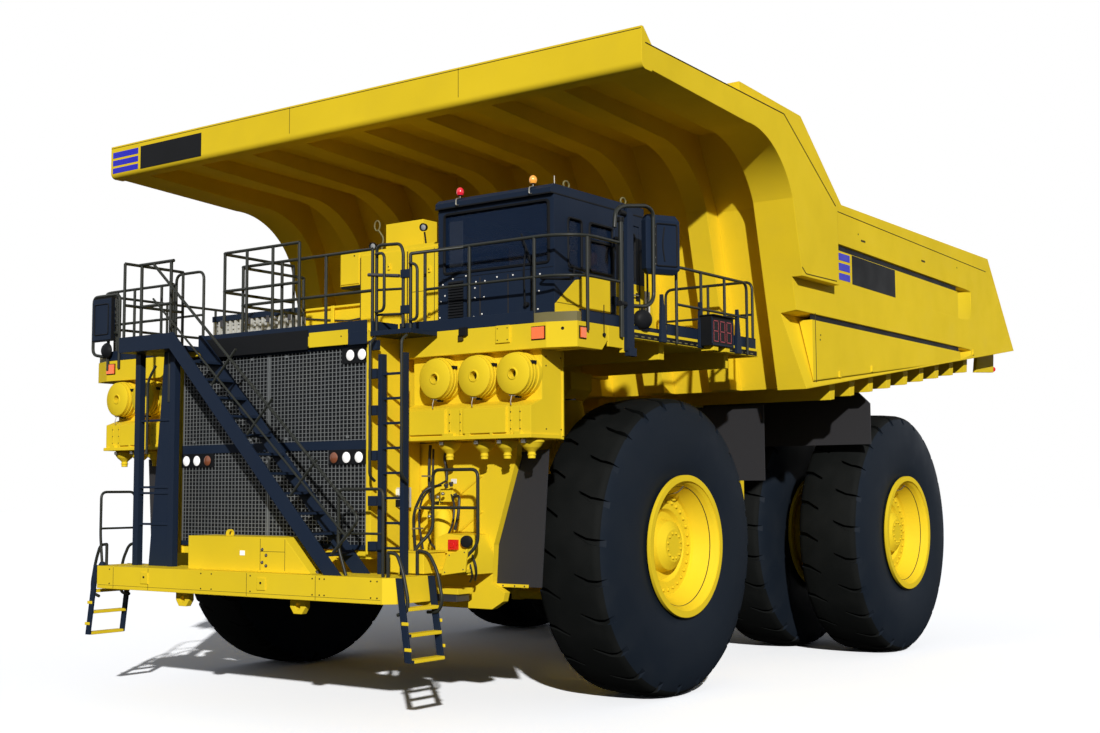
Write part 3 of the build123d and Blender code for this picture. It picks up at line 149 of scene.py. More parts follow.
def material(name, color, gloss=0.4, dust=0.15, dust_color=(0.30, 0.24, 0.15), metallic=0.0,
             coat=0.0, grain=0.05, scale=1.0, rounding=0.0, glow=None, alpha=1.0, shine=0.5):
    """A procedural material: the weathering group feeds a principled shader and its bump.

    The colour is given, or named among the settings."""
    if name in bpy.data.materials:
        return bpy.data.materials[name]
    if isinstance(color, str):
        color = getattr(settings(), color)
    made = bpy.data.materials.new(name)
    made.use_nodes = True
    nodes, link = made.node_tree.nodes, made.node_tree.links.new
    shader = nodes["Principled BSDF"]
    group = nodes.new("ShaderNodeGroup")
    group.node_tree = weathering()
    for label, value in (("Base", (*color, 1)), ("Dust", (*dust_color, 1)), ("Dust Amount", dust),
                         ("Gloss", gloss), ("Scale", scale)):
        group.inputs[label].default_value = value
    link(group.outputs["Color"], shader.inputs["Base Color"])
    link(group.outputs["Roughness"], shader.inputs["Roughness"])
    shader.inputs["Metallic"].default_value = metallic
    shader.inputs["Coat Weight"].default_value = coat
    shader.inputs["Coat Roughness"].default_value = 0.12
    shader.inputs["Alpha"].default_value = alpha
    shader.inputs["Specular IOR Level"].default_value = shine
    if glow:
        shader.inputs["Emission Color"].default_value = (*glow[:3], 1)
        shader.inputs["Emission Strength"].default_value = glow[3]
    bump = nodes.new("ShaderNodeBump")
    bump.inputs["Strength"].default_value = grain
    bump.inputs["Distance"].default_value = 0.002
    link(group.outputs["Height"], bump.inputs["Height"])
    if rounding:
        edge = nodes.new("ShaderNodeBevel")
        edge.samples = 4
        edge.inputs["Radius"].default_value = rounding
        link(edge.outputs["Normal"], bump.inputs["Normal"])
    link(bump.outputs["Normal"], shader.inputs["Normal"])
    return made


yellow = partial(material, "yellow_enamel", "body_paint", 0.55, 0.1, (0.5, 0.36, 0.05), rounding=0.012,
                 shine=0.06)
navy = partial(material, "navy_enamel", "cab_paint", 0.42, 0.14, (0.03, 0.035, 0.045), rounding=0.008,
               shine=0.06)
black = partial(material, "black_enamel", BLACK, 0.45, 0.2, (0.02, 0.02, 0.02), shine=0.06)
tube_black = partial(material, "rail_enamel", "rail_paint", 0.32, 0.25, (0.04, 0.04, 0.028), shine=0.2)
blue = partial(material, "stripe_blue", "stripe_paint", 0.35, 0.04, (0.05, 0.05, 0.4), shine=0.3)
seam = partial(material, "panel_seam", SEAM, 0.7, 0.3, (0.12, 0.09, 0.03), shine=0.2)
grey = partial(material, "grey_enamel", GREY, 0.4, 0.25, (0.35, 0.33, 0.28), rounding=0.004)
olive = partial(material, "worn_olive", (0.16, 0.14, 0.05), 0.6, 0.5, (0.24, 0.21, 0.12), grain=0.3)
white = partial(material, "white_enamel", (0.85, 0.85, 0.83), 0.4, 0.15, (0.5, 0.48, 0.42))
wire = partial(material, "galvanised_wire", WIRE, 0.42, 0.3, (0.3, 0.3, 0.28), metallic=0.4)
rubber = partial(material, "wall_rubber", RUBBER, 0.55, 0.5, (0.02, 0.025, 0.033), grain=0.25, scale=0.8,
                 shine=0.06)
tread_rubber = partial(material, "tread_rubber", TREAD, 0.65, 0.6, (0.014, 0.015, 0.015), grain=0.5,
                       scale=0.8, shine=0.06)
flap_rubber = partial(material, "flap_rubber", (0.009, 0.012, 0.017), 0.6, 0.5, (0.014, 0.018, 0.024),
                      grain=0.3, shine=0.06)
hose_rubber = partial(material, "hose_rubber", (0.012, 0.013, 0.014), 0.5, 0.3, (0.05, 0.045, 0.03),
                      grain=0.3)
steel = partial(material, "dark_steel", (0.035, 0.036, 0.038), 0.45, 0.35, (0.1, 0.08, 0.06),
                metallic=0.5)
bolt_steel = partial(material, "plated_bolt", (0.33, 0.32, 0.28), 0.38, 0.4, (0.2, 0.16, 0.1),
                     metallic=0.8)
chrome = partial(material, "hard_chrome", (0.62, 0.63, 0.65), 0.1, 0.12, (0.3, 0.28, 0.25), metallic=1.0)
glass = partial(material, "tinted_glass", (0.01, 0.022, 0.055), 0.2, 0.0, grain=0.0, alpha=0.55,
                shine=0.08)
mirror_glass = partial(material, "mirror_glass", (0.5, 0.52, 0.55), 0.03, 0.05, (0.3, 0.3, 0.3),
                       metallic=1.0, grain=0.0)
white_lens = partial(material, "clear_lens", (0.9, 0.9, 0.9), 0.12, 0.03, (0.7, 0.7, 0.7), coat=0.8,
                     grain=0.02, glow=(1, 1, 1, 0.35))
brown_lens = partial(material, "brown_lens", (0.22, 0.07, 0.03), 0.3, 0.1, (0.2, 0.12, 0.08), coat=0.5)
orange_lens = partial(material, "orange_lens", (0.85, 0.13, 0.015), 0.15, 0.05, (0.5, 0.2, 0.1),
                      coat=0.6, glow=(1.0, 0.2, 0.02, 0.25))
amber_lens = partial(material, "amber_lens", (0.9, 0.36, 0.05), 0.15, 0.05, (0.6, 0.3, 0.1), coat=0.6,
                     glow=(1.0, 0.4, 0.05, 0.3))
red_lens = partial(material, "red_lens", (0.65, 0.012, 0.03), 0.12, 0.05, (0.3, 0.05, 0.05), coat=0.6,
                   glow=(1.0, 0.02, 0.05, 0.25))
red_segment = partial(material, "lit_segment", (0.22, 0.004, 0.012), 0.3, 0.0,
                      glow=(0.5, 0.01, 0.03, 0.18))
red_cap = partial(material, "red_cap", (0.7, 0.012, 0.01), 0.35, 0.1, (0.4, 0.1, 0.05))
trim = partial(material, "cab_trim", (0.03, 0.032, 0.036), 0.6, 0.2, (0.05, 0.05, 0.05), grain=0.4)
dash_grey = partial(material, "dash_cover", (0.30, 0.32, 0.34), 0.55, 0.2, (0.2, 0.2, 0.2), grain=0.3)
seat_cloth = partial(material, "seat_cloth", (0.33, 0.15, 0.035), 0.85, 0.4, (0.2, 0.1, 0.04), grain=0.8,
                     scale=2.0, shine=0.2)


# ---- Mesh building ---------------------------------------------------------------------
class Shape:
    """Gathers solids into one mesh. A solid that names no paint takes the shape's own."""

    def __init__(self, paint=None):
        self.paint = paint
        self.points, self.faces, self.slots, self.materials = [], [], [], []

    def add(self, points, faces, paint=None):
        paint = paint or self.paint
        if paint not in self.materials:
            self.materials.append(paint)
        start = len(self.points)
        self.points += [tuple(p) for p in points]
        self.faces += [tuple(start + i for i in face) for face in faces]
        self.slots += [self.materials.index(paint)] * len(faces)

    def prism(self, outline, axis, start, end, paint=None):
        """An outline in the plane across axis ("x", "y" or "z"), from one end to the other."""
        low, high = sorted((start, end))
        turn = {"x": lambda a, b, t: (t, a, b), "y": lambda a, b, t: (a, t, b),
                "z": lambda a, b, t: (a, b, t)}[axis]
        n = len(outline)
        points = [turn(a, b, t) for t in (low, high) for a, b in outline]
        sides = [(i, (i + 1) % n, n + (i + 1) % n, n + i) for i in range(n)]
        self.add(points, [tuple(range(n))[::-1], tuple(range(n, 2 * n)), *sides], paint)

    def plate(self, corners, shift, paint=None):
        """A flat polygon of any facing, made solid by a shift."""
        n = len(corners)
        points = [Vector(p) for p in corners]
        points += [p + Vector(shift) for p in points]
        sides = [(i, (i + 1) % n, n + (i + 1) % n, n + i) for i in range(n)]
        self.add(points, [tuple(range(n))[::-1], tuple(range(n, 2 * n)), *sides], paint)

    def box(self, x0, x1, y0, y1, z0, z1, paint=None):
        x0, x1 = sorted((x0, x1))
        self.prism([(x0, y0), (x1, y0), (x1, y1), (x0, y1)], "z", z0, z1, paint)

    def tube(self, path, radius, bend=0.0, paint=None, sides=10, closed=False):
        """A round tube through the points, its corners rounded to the bend radius."""
        path = rounded([Vector(p) for p in path], bend, closed)
        n = len(path)
        rings, side = [], None
        for i, point in enumerate(path):
            before = path[i - 1] if i or closed else point
            after = path[(i + 1) % n] if i < n - 1 or closed else point
            ahead = (after - before).normalized()
            if side is None:
                side = ahead.orthogonal().normalized()
            side = (side - ahead * side.dot(ahead)).normalized()
            up = ahead.cross(side)
            rings.append([point + radius * (math.cos(a) * side + math.sin(a) * up)
                          for a in (math.tau * k / sides for k in range(sides))])
        points = [p for ring in rings for p in ring]
        faces = []
        for i in range(n if closed else n - 1):
            j = (i + 1) % n
            for k in range(sides):
                m = (k + 1) % sides
                faces.append((i * sides + k, i * sides + m, j * sides + m, j * sides + k))
        if not closed:
            faces += [tuple(range(sides))[::-1], tuple(range((n - 1) * sides, n * sides))]
        self.add(points, faces, paint)

    def turned(self, profile, centre, axis, steps=32, paint=None, ring=False):
        """A profile of (distance along axis, radius) turned about the axis through centre.

        A solid is capped at both ends; a ring's profile closes on itself."""
        along = Vector(axis).normalized()
        side = along.orthogonal().normalized()
        up = along.cross(side)
        centre = Vector(centre)
        points = []
        for distance, radius in profile:
            for k in range(steps):
                a = math.tau * k / steps
                points.append(centre + along * distance
                              + radius * (math.cos(a) * side + math.sin(a) * up))
        n = len(profile)
        faces = []
        for i in range(n if ring else n - 1):
            j = (i + 1) % n
            for k in range(steps):
                m = (k + 1) % steps
                faces.append((i * steps + k, i * steps + m, j * steps + m, j * steps + k))
        if not ring:
            faces += [tuple(range(steps))[::-1], tuple(range((n - 1) * steps, n * steps))]
        self.add(points, faces, paint)

    def bolt(self, centre, axis, radius, paint=None):
        """A hexagon head on a washer, seated at centre and facing axis."""
        self.turned([(0, radius * 1.35), (radius * 0.25, radius * 1.35)], centre, axis, 14, paint)
        top = Vector(centre) + Vector(axis).normalized() * radius * 0.25
        self.turned([(0, radius), (radius * 0.75, radius), (radius * 0.9, radius * 0.82)], top, axis, 6,
                    paint)

    def make(self, name, body, bevel=0.0, replaces=()):
        """The finished piece, riding on its body."""
        mesh = bpy.data.meshes.new(name)
        mesh.from_pydata(self.points, [], self.faces)
        for paint in self.materials:
            mesh.materials.append(paint)
        mesh.polygons.foreach_set("material_index", self.slots)
        work = bmesh.new()
        work.from_mesh(mesh)
        bmesh.ops.recalc_face_normals(work, faces=work.faces)
        work.to_mesh(mesh)
        work.free()
        mesh.shade_smooth()
        mesh.set_sharp_from_angle(angle=math.radians(38))
        piece = bpy.data.objects.new(name, mesh)
        bpy.context.scene.collection.objects.link(piece)
        if bevel:
            cut = piece.modifiers.new("edges", "BEVEL")
            cut.width = bevel
            cut.segments = 2
            cut.limit_method = "ANGLE"
            cut.angle_limit = math.radians(50)
            cut.harden_normals = True
        return placed(piece, body, replaces)


def placed(piece, body, replaces=()):
    """Puts a finished piece on its body, in place of the nodes it stands for."""
    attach(piece, body)
    if replaces:
        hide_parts(*replaces)
    return piece


def rounded(path, radius, closed=False, steps=5):
    """The path with each corner turned into an arc of about this radius."""
    if not radius:
        return path
    result = []
    n = len(path)
    for i, corner in enumerate(path):
        if not closed and i in (0, n - 1):
            result.append(corner)
            continue
        before, after = path[i - 1], path[(i + 1) % n]
        back, ahead = before - corner, after - corner
        reach = min(radius, back.length * 0.49, ahead.length * 0.49)
        start, end = corner + back.normalized() * reach, corner + ahead.normalized() * reach
        for k in range(steps + 1):
            t = k / steps
            result.append((1 - t) ** 2 * start + 2 * t * (1 - t) * corner + t * t * end)
    return result


def circle(count, radius=1.0, height=None):
    """Points round a circle, or an ellipse of this height, as pairs."""
    height = radius if height is None else height
    return [(radius * math.cos(a), height * math.sin(a))
            for a in (math.tau * k / count for k in range(count))]


# ---- Settings --------------------------------------------------------------------------
class TruckSettings(bpy.types.PropertyGroup):
    body_paint: bpy.props.FloatVectorProperty(
        name="Body paint", description="Enamel of the bed, the frame and the decks",
        default=(0.85, 0.625, 0.024), subtype="COLOR", size=3, min=0, max=1)
    cab_paint: bpy.props.FloatVectorProperty(
        name="Cab paint", description="Enamel of the cab, the stair and the ladders",
        default=(0.012, 0.021, 0.043), subtype="COLOR", size=3, min=0, max=1)
    rail_paint: bpy.props.FloatVectorProperty(
        name="Rail paint", description="Enamel of the handrails",
        default=(0.022, 0.025, 0.022), subtype="COLOR", size=3, min=0, max=1)
    stripe_paint: bpy.props.FloatVectorProperty(
        name="Stripe paint", description="Colour of the stripes on the bed and canopy",
        default=(0.012, 0.012, 0.55), subtype="COLOR", size=3, min=0, max=1)
    tread_slots: bpy.props.IntProperty(
        name="Tread slots", description="Slots in each shoulder of a tyre", default=24, min=6)
    slot_depth: bpy.props.FloatProperty(
        name="Slot depth", description="Depth of a tread slot", default=0.07, unit="LENGTH")
    rim_bolts: bpy.props.IntProperty(
        name="Rim bolts", description="Nuts in the ring that holds each rim", default=30, min=3)
    wire_pitch: bpy.props.FloatVectorProperty(
        name="Wire pitch", description="Spacing of the grille's upright and level wires", size=2,
        default=(0.066, 0.05), unit="LENGTH")
    rail_radius: bpy.props.FloatProperty(
        name="Rail radius", description="Radius of the handrail tube", default=0.021, unit="LENGTH")
    sun_power: bpy.props.FloatProperty(
        name="Sun", description="Strength of the key light", default=3.7)
    fill_power: bpy.props.FloatProperty(
        name="Fill", description="Brightness of the studio's surroundings", default=0.12)


def settings():
    return bpy.context.scene.truck_settings


# ---- Wheels ----------------------------------------------------------------------------
def tyre_ring():
    """A whole tyre about the X axis, still without its slots."""
    half = 1.178 / 2
    outer = HUB_Z
    bead, flange = 0.80, 0.985
    profile = [(-0.5, bead), (-0.535, flange), (-0.56, 1.06), (-half + 0.012, 1.2), (-half, 1.36),
               (-half + 0.004, 1.52), (-half + 0.025, 1.66), (-0.545, 1.78), (-0.52, 1.855),
               (-0.49, outer - 0.085), (-0.455, outer - 0.045), (-0.4, outer - 0.026),
               (-0.2, outer - 0.007), (0, outer)]
    profile += [(-x, r) for x, r in profile[-2::-1]]
    shape = Shape()
    steps = 144
    points = [(x, r * math.sin(math.tau * k / steps), r * math.cos(math.tau * k / steps))
              for x, r in profile for k in range(steps)]
    n = len(profile)
    faces = [(i * steps + k, i * steps + (k + 1) % steps, (i + 1) % n * steps + (k + 1) % steps,
              (i + 1) % n * steps + k) for i in range(n) for k in range(steps)]
    shape.add(points, faces, rubber())
    return shape


def slot_cutters(count, depth):
    """One solid of all the slots: each an elbow that widens and falls towards the shoulder."""
    # distance from the tyre's middle, lead along the tread, half width, fall of the floor
    line = ((0.13, 0.1, 0.018, 0), (0.33, 0.0, 0.036, 0.012), (0.46, -0.02, 0.042, 0.055),
            (0.64, -0.045, 0.048, 0.2))
    shape = Shape(tread_rubber())
    n = 2 * len(line)
    quads = [(j, j + 1, n - 2 - j, n - 1 - j) for j in range(len(line) - 1)]
    sides = [(j, (j + 1) % n, n + (j + 1) % n, n + j) for j in range(n)]
    faces = [q[::-1] for q in quads] + [tuple(n + j for j in q) for q in quads] + sides
    for side in (-1, 1):
        for i in range(count):
            angle = math.tau * (i + (side + 1) / 8) / count
            turn = Matrix.Rotation(-angle, 4, "X")
            outline = [(side * x, side * lead + w, fall) for x, lead, w, fall in line]
            outline += [(side * x, side * lead - w, fall) for x, lead, w, fall in reversed(line)]
            points = [turn @ Vector((x, y, HUB_Z - depth - fall)) for x, y, fall in outline]
            points += [turn @ Vector((x, y, HUB_Z + 0.06)) for x, y, fall in outline]
            shape.add(points, faces)
    return shape


def as_object(shape, name):
    """A loose object of the shape, to be cut with or from."""
    mesh = bpy.data.meshes.new(name)
    mesh.from_pydata(shape.points, [], shape.faces)
    for paint in shape.materials:
        mesh.materials.append(paint)
    work = bmesh.new()
    work.from_mesh(mesh)
    bmesh.ops.recalc_face_normals(work, faces=work.faces)
    work.to_mesh(mesh)
    work.free()
    thing = bpy.data.objects.new(name, mesh)
    bpy.context.scene.collection.objects.link(thing)
    return thing


def slotted_tyre():
    """The tyre's mesh with its slots cut, tread and walls in their own rubber."""
    ring = as_object(tyre_ring(), "tyre_blank")
    slots = as_object(slot_cutters(settings().tread_slots, settings().slot_depth), "slots")
    cut = ring.modifiers.new("slots", "BOOLEAN")
    cut.operation = "DIFFERENCE"
    cut.solver = "EXACT"
    cut.object = slots
    bpy.context.view_layer.update()
    mesh = bpy.data.meshes.new_from_object(ring.evaluated_get(bpy.context.evaluated_depsgraph_get()))
    for thing in (ring, slots):
        bpy.data.objects.remove(thing)
    if len(mesh.materials) < 2:
        mesh.materials.append(tread_rubber())
    for face in mesh.polygons:
        c = face.center
        face.material_index = int(math.hypot(c.y, c.z) > HUB_Z - 0.11 or face.material_index)
    mesh.shade_smooth()
    mesh.set_sharp_from_angle(angle=math.radians(32))
    return mesh


class TRUCK_OT_tyres(bpy.types.Operator):
    """Put a slotted tyre on every rim"""
    bl_idname = "truck.tyres"
    bl_label = "Tyres"

    def execute(self, context):
        mesh = slotted_tyre()
        for node, body in (("front_tyre_left", "front_wheel_left"),
                           ("front_tyre_right", "front_wheel_right"),
                           ("rear_tyres_left", "rear_wheels_left"),
                           ("rear_tyres_right", "rear_wheels_right")):
            low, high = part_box(node)
            inside = (TYRE_HIGH.x - TYRE_LOW.x) / 2
            places = {low.x + inside, high.x - inside} if high.x - low.x > 2 else {(low.x + high.x) / 2}
            for i, x in enumerate(sorted(places)):
                piece = bpy.data.objects.new(f"tyre_{node}_{i}", mesh)
                context.scene.collection.objects.link(piece)
                piece.location = (x, (low.y + high.y) / 2, HUB_Z)
                placed(piece, body, (node,))
        return {"FINISHED"}


class TRUCK_OT_wheel_fittings(bpy.types.Operator):
    """Add the nut rings, hub bolts, lock rings and valves to the rims"""
    bl_idname = "truck.wheel_fittings"
    bl_label = "Wheel fittings"

    def execute(self, context):
        count = settings().rim_bolts
        for node, body, side in (("front_rim_left", "front_wheel_left", 1),
                                 ("front_rim_right", "front_wheel_right", -1),
                                 ("rear_rims_left", "rear_wheels_left", 1),
                                 ("rear_rims_right", "rear_wheels_right", -1)):
            low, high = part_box(node)
            edge = high.x if side > 0 else low.x
            y = (low.y + high.y) / 2
            shape = Shape(yellow())
            out = (side, 0, 0)
            for u, v in circle(count, 0.6):
                shape.bolt((edge - side * 0.362, y + u, HUB_Z + v), out, 0.021)
            for i in range(12):
                a = math.tau * (i + 0.5) / 12
                shape.bolt((edge - side * 0.216, y + 0.17 * math.cos(a), HUB_Z + 0.17 * math.sin(a)),
                           out, 0.018)
            # lock ring and the gutter beside it
            ring = [(-0.02, 0.925), (0, 0.932), (0, 0.946), (-0.02, 0.951)]
            shape.turned(ring, (edge - side * 0.002, y, HUB_Z), out, 72, ring=True)
            shape.tube([(edge - side * 0.06, y, HUB_Z + 0.8), (edge - side * 0.14, y, HUB_Z + 0.72),
                        (edge - side * 0.3, y, HUB_Z + 0.69)], 0.009, 0.05, bolt_steel())
            shape.make(f"{node}_fittings", body)
        return {"FINISHED"}


# ---- Rails -----------------------------------------------------------------------------
def rail_loop(shape, start, end, foot, top, middle=0.5, posts=0, bend=0.12):
    """A rounded frame between two posts, with level rails and posts between."""
    r = settings().rail_radius
    (x0, y0), (x1, y1) = start, end
    shape.tube([(x0, y0, foot), (x0, y0, top - r), (x1, y1, top - r), (x1, y1, foot)], r, bend)
    z = foot + (top - foot) * middle
    shape.tube([(x0, y0, z), (x1, y1, z)], r * 0.85)
    for i in range(1, posts + 1):
        t = i / (posts + 1)
        x, y = x0 + (x1 - x0) * t, y0 + (y1 - y0) * t
        shape.tube([(x, y, foot), (x, y, top - r)], r)


class TRUCK_OT_guard_rails(bpy.types.Operator):
    """Stand the tube guard rails round the decks"""
    bl_idname = "truck.guard_rails"
    bl_label = "Guard rails"

    def execute(self, context):
        r = settings().rail_radius
        shape = Shape(tube_black())
        side = DECK_SIDE + r + 0.004
        face = DECK_FACE + r + 0.02
        left_top = DECK_TOP + 1.03
        # left deck: front run turns the corner and runs back to the mirror
        for z, radius in ((left_top, r), (DECK_TOP + 0.55, r * 0.85)):
            shape.tube([(2.2, face, z), (DECK_SIDE - 0.3, face, z), (side, behind(-3.05), z),
                        (side, behind(-2.34), z)], radius, 0.25)
        for x in (2.20, 2.92, 3.91):
            shape.tube([(x, face, DECK_TOP), (x, face, left_top)], r)
        shape.tube([(side, behind(-3.02), DECK_TOP - 0.1), (side, behind(-3.02), left_top - 0.02)], r)
        # behind the cab door
        rail_loop(shape, (side, behind(-1.0)), (side, behind(0.9)), DECK_TOP - 0.1, DECK_TOP + 0.92, 0.5,
                  2)
        back = DECK_BACK - 0.06
        for sign in (-1, 1):
            rail_loop(shape, (sign * (DECK_SIDE - 0.04), back), (sign * 3.0, back), DECK_TOP,
                      DECK_TOP + 0.98, 0.5, 1)
        # right deck
        for z in (DECK_TOP + 1.05, DECK_TOP + 0.55):
            shape.tube([(-2.64, face, z), (-4.2, face, z), (-side, behind(-3.05), z),
                        (-side, behind(0.9), z)], r, 0.2)
        for x in (-2.64, -2.91, -3.53, -3.93):
            shape.tube([(x, face, DECK_TOP), (x, face, DECK_TOP + 1.05)], r)
        for y in (-2.9, -1.9, -0.9, 0.0, 0.88):
            shape.tube([(-side, behind(y), DECK_TOP - 0.1), (-side, behind(y), DECK_TOP + 1.05)], r)
        rail_loop(shape, (-2.58, face), (-1.98, face), DECK_TOP, DECK_TOP + 1.2, 0.46)
        # centre deck: two rails turn its corner, the outer one higher
        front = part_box("deck_center")[0].y + 0.04
        for x0, x1, top, back in ((0.56, -0.93, 5.99, -2.5), (1.80, -0.62, 5.78, -2.6)):
            y = front + (0.05 if x0 > 1 else 0)
            for z in (top, top - 0.52):
                shape.tube([(x0, y, z), (x1, y, z), (x1 - 0.04, behind(back), z)], r, 0.1)
            for x in (x0, x1 + 0.06, (x0 * 2 + x1) / 3, (x0 + x1 * 2) / 3):
                shape.tube([(x, y, DECK_TOP), (x, y, top)], r)
            shape.tube([(x1 - 0.04, behind(back), DECK_TOP), (x1 - 0.04, behind(back), top)], r)
        # tall gate frame at the head of the stair
        gate, stair_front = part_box("stairway")[0].xy
        gate += 0.024
        for z in (GATE_TOP, GATE_MIDDLE):
            shape.tube([(gate, stair_front + 0.06, z), (gate, DECK_FACE - 0.04, z)], r)
        for y in (stair_front + 0.06, DECK_FACE - 0.04):
            shape.tube([(gate, y, DECK_TOP), (gate, y, GATE_TOP)], r)
        shape.make("guard_rail_tubes", "chassis", replaces=("guard_rails",))
        plates = Shape(navy())
        # the tapered stanchion plates on the deck's side
        for place in (-1.34, -0.37, 0.64):
            y = behind(place)
            outline = [(y - 0.07, DECK_TOP - 0.11), (y + 0.07, DECK_TOP - 0.11),
                       (y - 0.01, DECK_TOP + 0.5), (y - 0.04, DECK_TOP + 0.5)]
            plates.prism(outline, "x", DECK_SIDE + 0.001, DECK_SIDE + 0.046)
        plates.make("rail_stanchions", "chassis", 0.004)
        return {"FINISHED"}


# ---- Front -----------------------------------------------------------------------------
class TRUCK_OT_grille(bpy.types.Operator):
    """Weave the wire screens over the radiator, with the crossing rail and lamp plates"""
    bl_idname = "truck.grille"
    bl_label = "Grille"

    def execute(self, context):
        low, high = GRILLE_LOW, GRILLE_HIGH
        bar_low, bar_high = 3.294, 3.408
        half, back = high.xy
        face = low.y + 0.012
        bottom, top = low.z + 0.05, high.z - 0.045
        pitch_x, pitch_z = settings().wire_pitch
        shape = Shape(wire())
        count = round(2 * half / pitch_x)
        for i in range(count + 1):
            x = -half + 0.006 + (2 * half - 0.012) * i / count
            shape.box(x - 0.0045, x + 0.0045, face, face + 0.008, bottom, top)
        rows = round((top - bottom) / pitch_z)
        for i in range(rows + 1):
            z = bottom + (top - bottom) * i / rows
            shape.box(-half, half, face + 0.005, face + 0.012, z - 0.004, z + 0.004)
        for z0, z1 in ((bottom, bar_low), (bar_high, top)):
            for x in (-half + 0.012, -0.03, half - 0.012):
                shape.box(x - 0.012, x + 0.012, face - 0.004, face + 0.01, z0, z1)
            for x in (-1.5, -0.35, 0.3, 1.4):
                for z in (z0 + 0.05, z1 - 0.05):
                    shape.box(x - 0.022, x + 0.022, face - 0.008, face + 0.002, z - 0.018, z + 0.018)
        shape.make("grille_screens", "chassis", replaces=("radiator_grille",))
        bars = Shape(black())
        bars.box(-half, half, back - 0.004, back - 0.0005, low.z, high.z)
        fins = round((top - bottom) / 0.1)
        for i in range(fins):
            z = bottom + (top - bottom) * (i + 0.5) / fins
            bars.prism([(back - 0.003, z - 0.025), (back - 0.003, z + 0.025), (back - 0.014, z - 0.005)],
                       "x", -half, half)
        bars.box(-half, half, low.y, back, bar_low, bar_high, navy())
        bars.box(-half, half, low.y, back, high.z - 0.06, high.z, navy())
        bars.box(-half, half, low.y, back, low.z, low.z + 0.06, navy())
        for x0, x1, z0, z1 in ((1.08, half, 3.11, bar_low), (-half, -1.08, 3.11, bar_low),
                               (half - 0.42, half, 4.37, high.z - 0.06)):
            bars.box(x0, x1, low.y - 0.004, face + 0.02, z0, z1)
        bars.make("grille_bars", "chassis", 0.003)
        return {"FINISHED"}


class TRUCK_OT_front_lamps(bpy.types.Operator):
    """Fit the lamps' lenses and rims, the marker lamps and the roof beacons"""
    bl_idname = "truck.lamps"
    bl_label = "Lamps"

    def execute(self, context):
        shape = Shape(black())
        face = GRILLE_LOW.y - 0.004
        lens = [(0, 0.068), (0.014, 0.068), (0.02, 0.06), (0.026, 0.04), (0.028, 0.0001)]
        rim = [(0, 0.066), (0.012, 0.066), (0.012, 0.074), (0, 0.074)]
        spots = [(s * x, 3.197, paint) for s in (-1, 1) for x, paint in ((1.187, brown_lens()),
                                                                         (1.403, white_lens()),
                                                                         (1.616, white_lens()))]
        spots += [(1.46, 4.47, white_lens()), (1.66, 4.47, white_lens())]
        for x, z, paint in spots:
            shape.turned(lens, (x, face, z), FORWARD, 28, paint)
            shape.turned(rim, (x, face, z), FORWARD, 28, ring=True)
        for side in (-1, 1):
            x = side * 4.0
            shape.box(x - 0.09, x + 0.09, DECK_FACE - 0.024, DECK_FACE - 0.001, 4.55, 4.69,
                      orange_lens())
            shape.box(x - 0.1, x + 0.1, DECK_FACE - 0.012, DECK_FACE - 0.0005, 4.54, 4.7)
        for x, paint in ((2.54, red_lens()), (3.69, amber_lens())):
            y, z = behind(-3.0), 6.54
            shape.tube([(x + 0.02, behind(-3.062), 6.36), (x + 0.02, y - 0.11, 6.35),
                        (x, y - 0.08, 6.44), (x, y, 6.46), (x, y, 6.5)], 0.009, 0.03, bolt_steel())
            shape.turned([(0, 0.02), (0.004, 0.035), (0.014, 0.035)], (x, y, z - 0.055), UP, 20)
            shape.turned([(0, 0.034), (0.02, 0.046), (0.05, 0.05), (0.08, 0.042), (0.1, 0.02),
                          (0.104, 0.0001)], (x, y, z - 0.045), UP, 24, paint)
        shape.make("lamp_lenses", "chassis", replaces=("lamps",))
        tail = Shape(red_lens())
        for side in (-1, 1):
            x = side * (BED_HALF - 0.39)
            tail.turned([(0, 0.05), (0.02, 0.05), (0.03, 0.03), (0.032, 0.0001)],
                        (x, behind(11.115), 5.09), BACKWARD, 20)
        tail.make("tail_lamps", "bed")
        return {"FINISHED"}


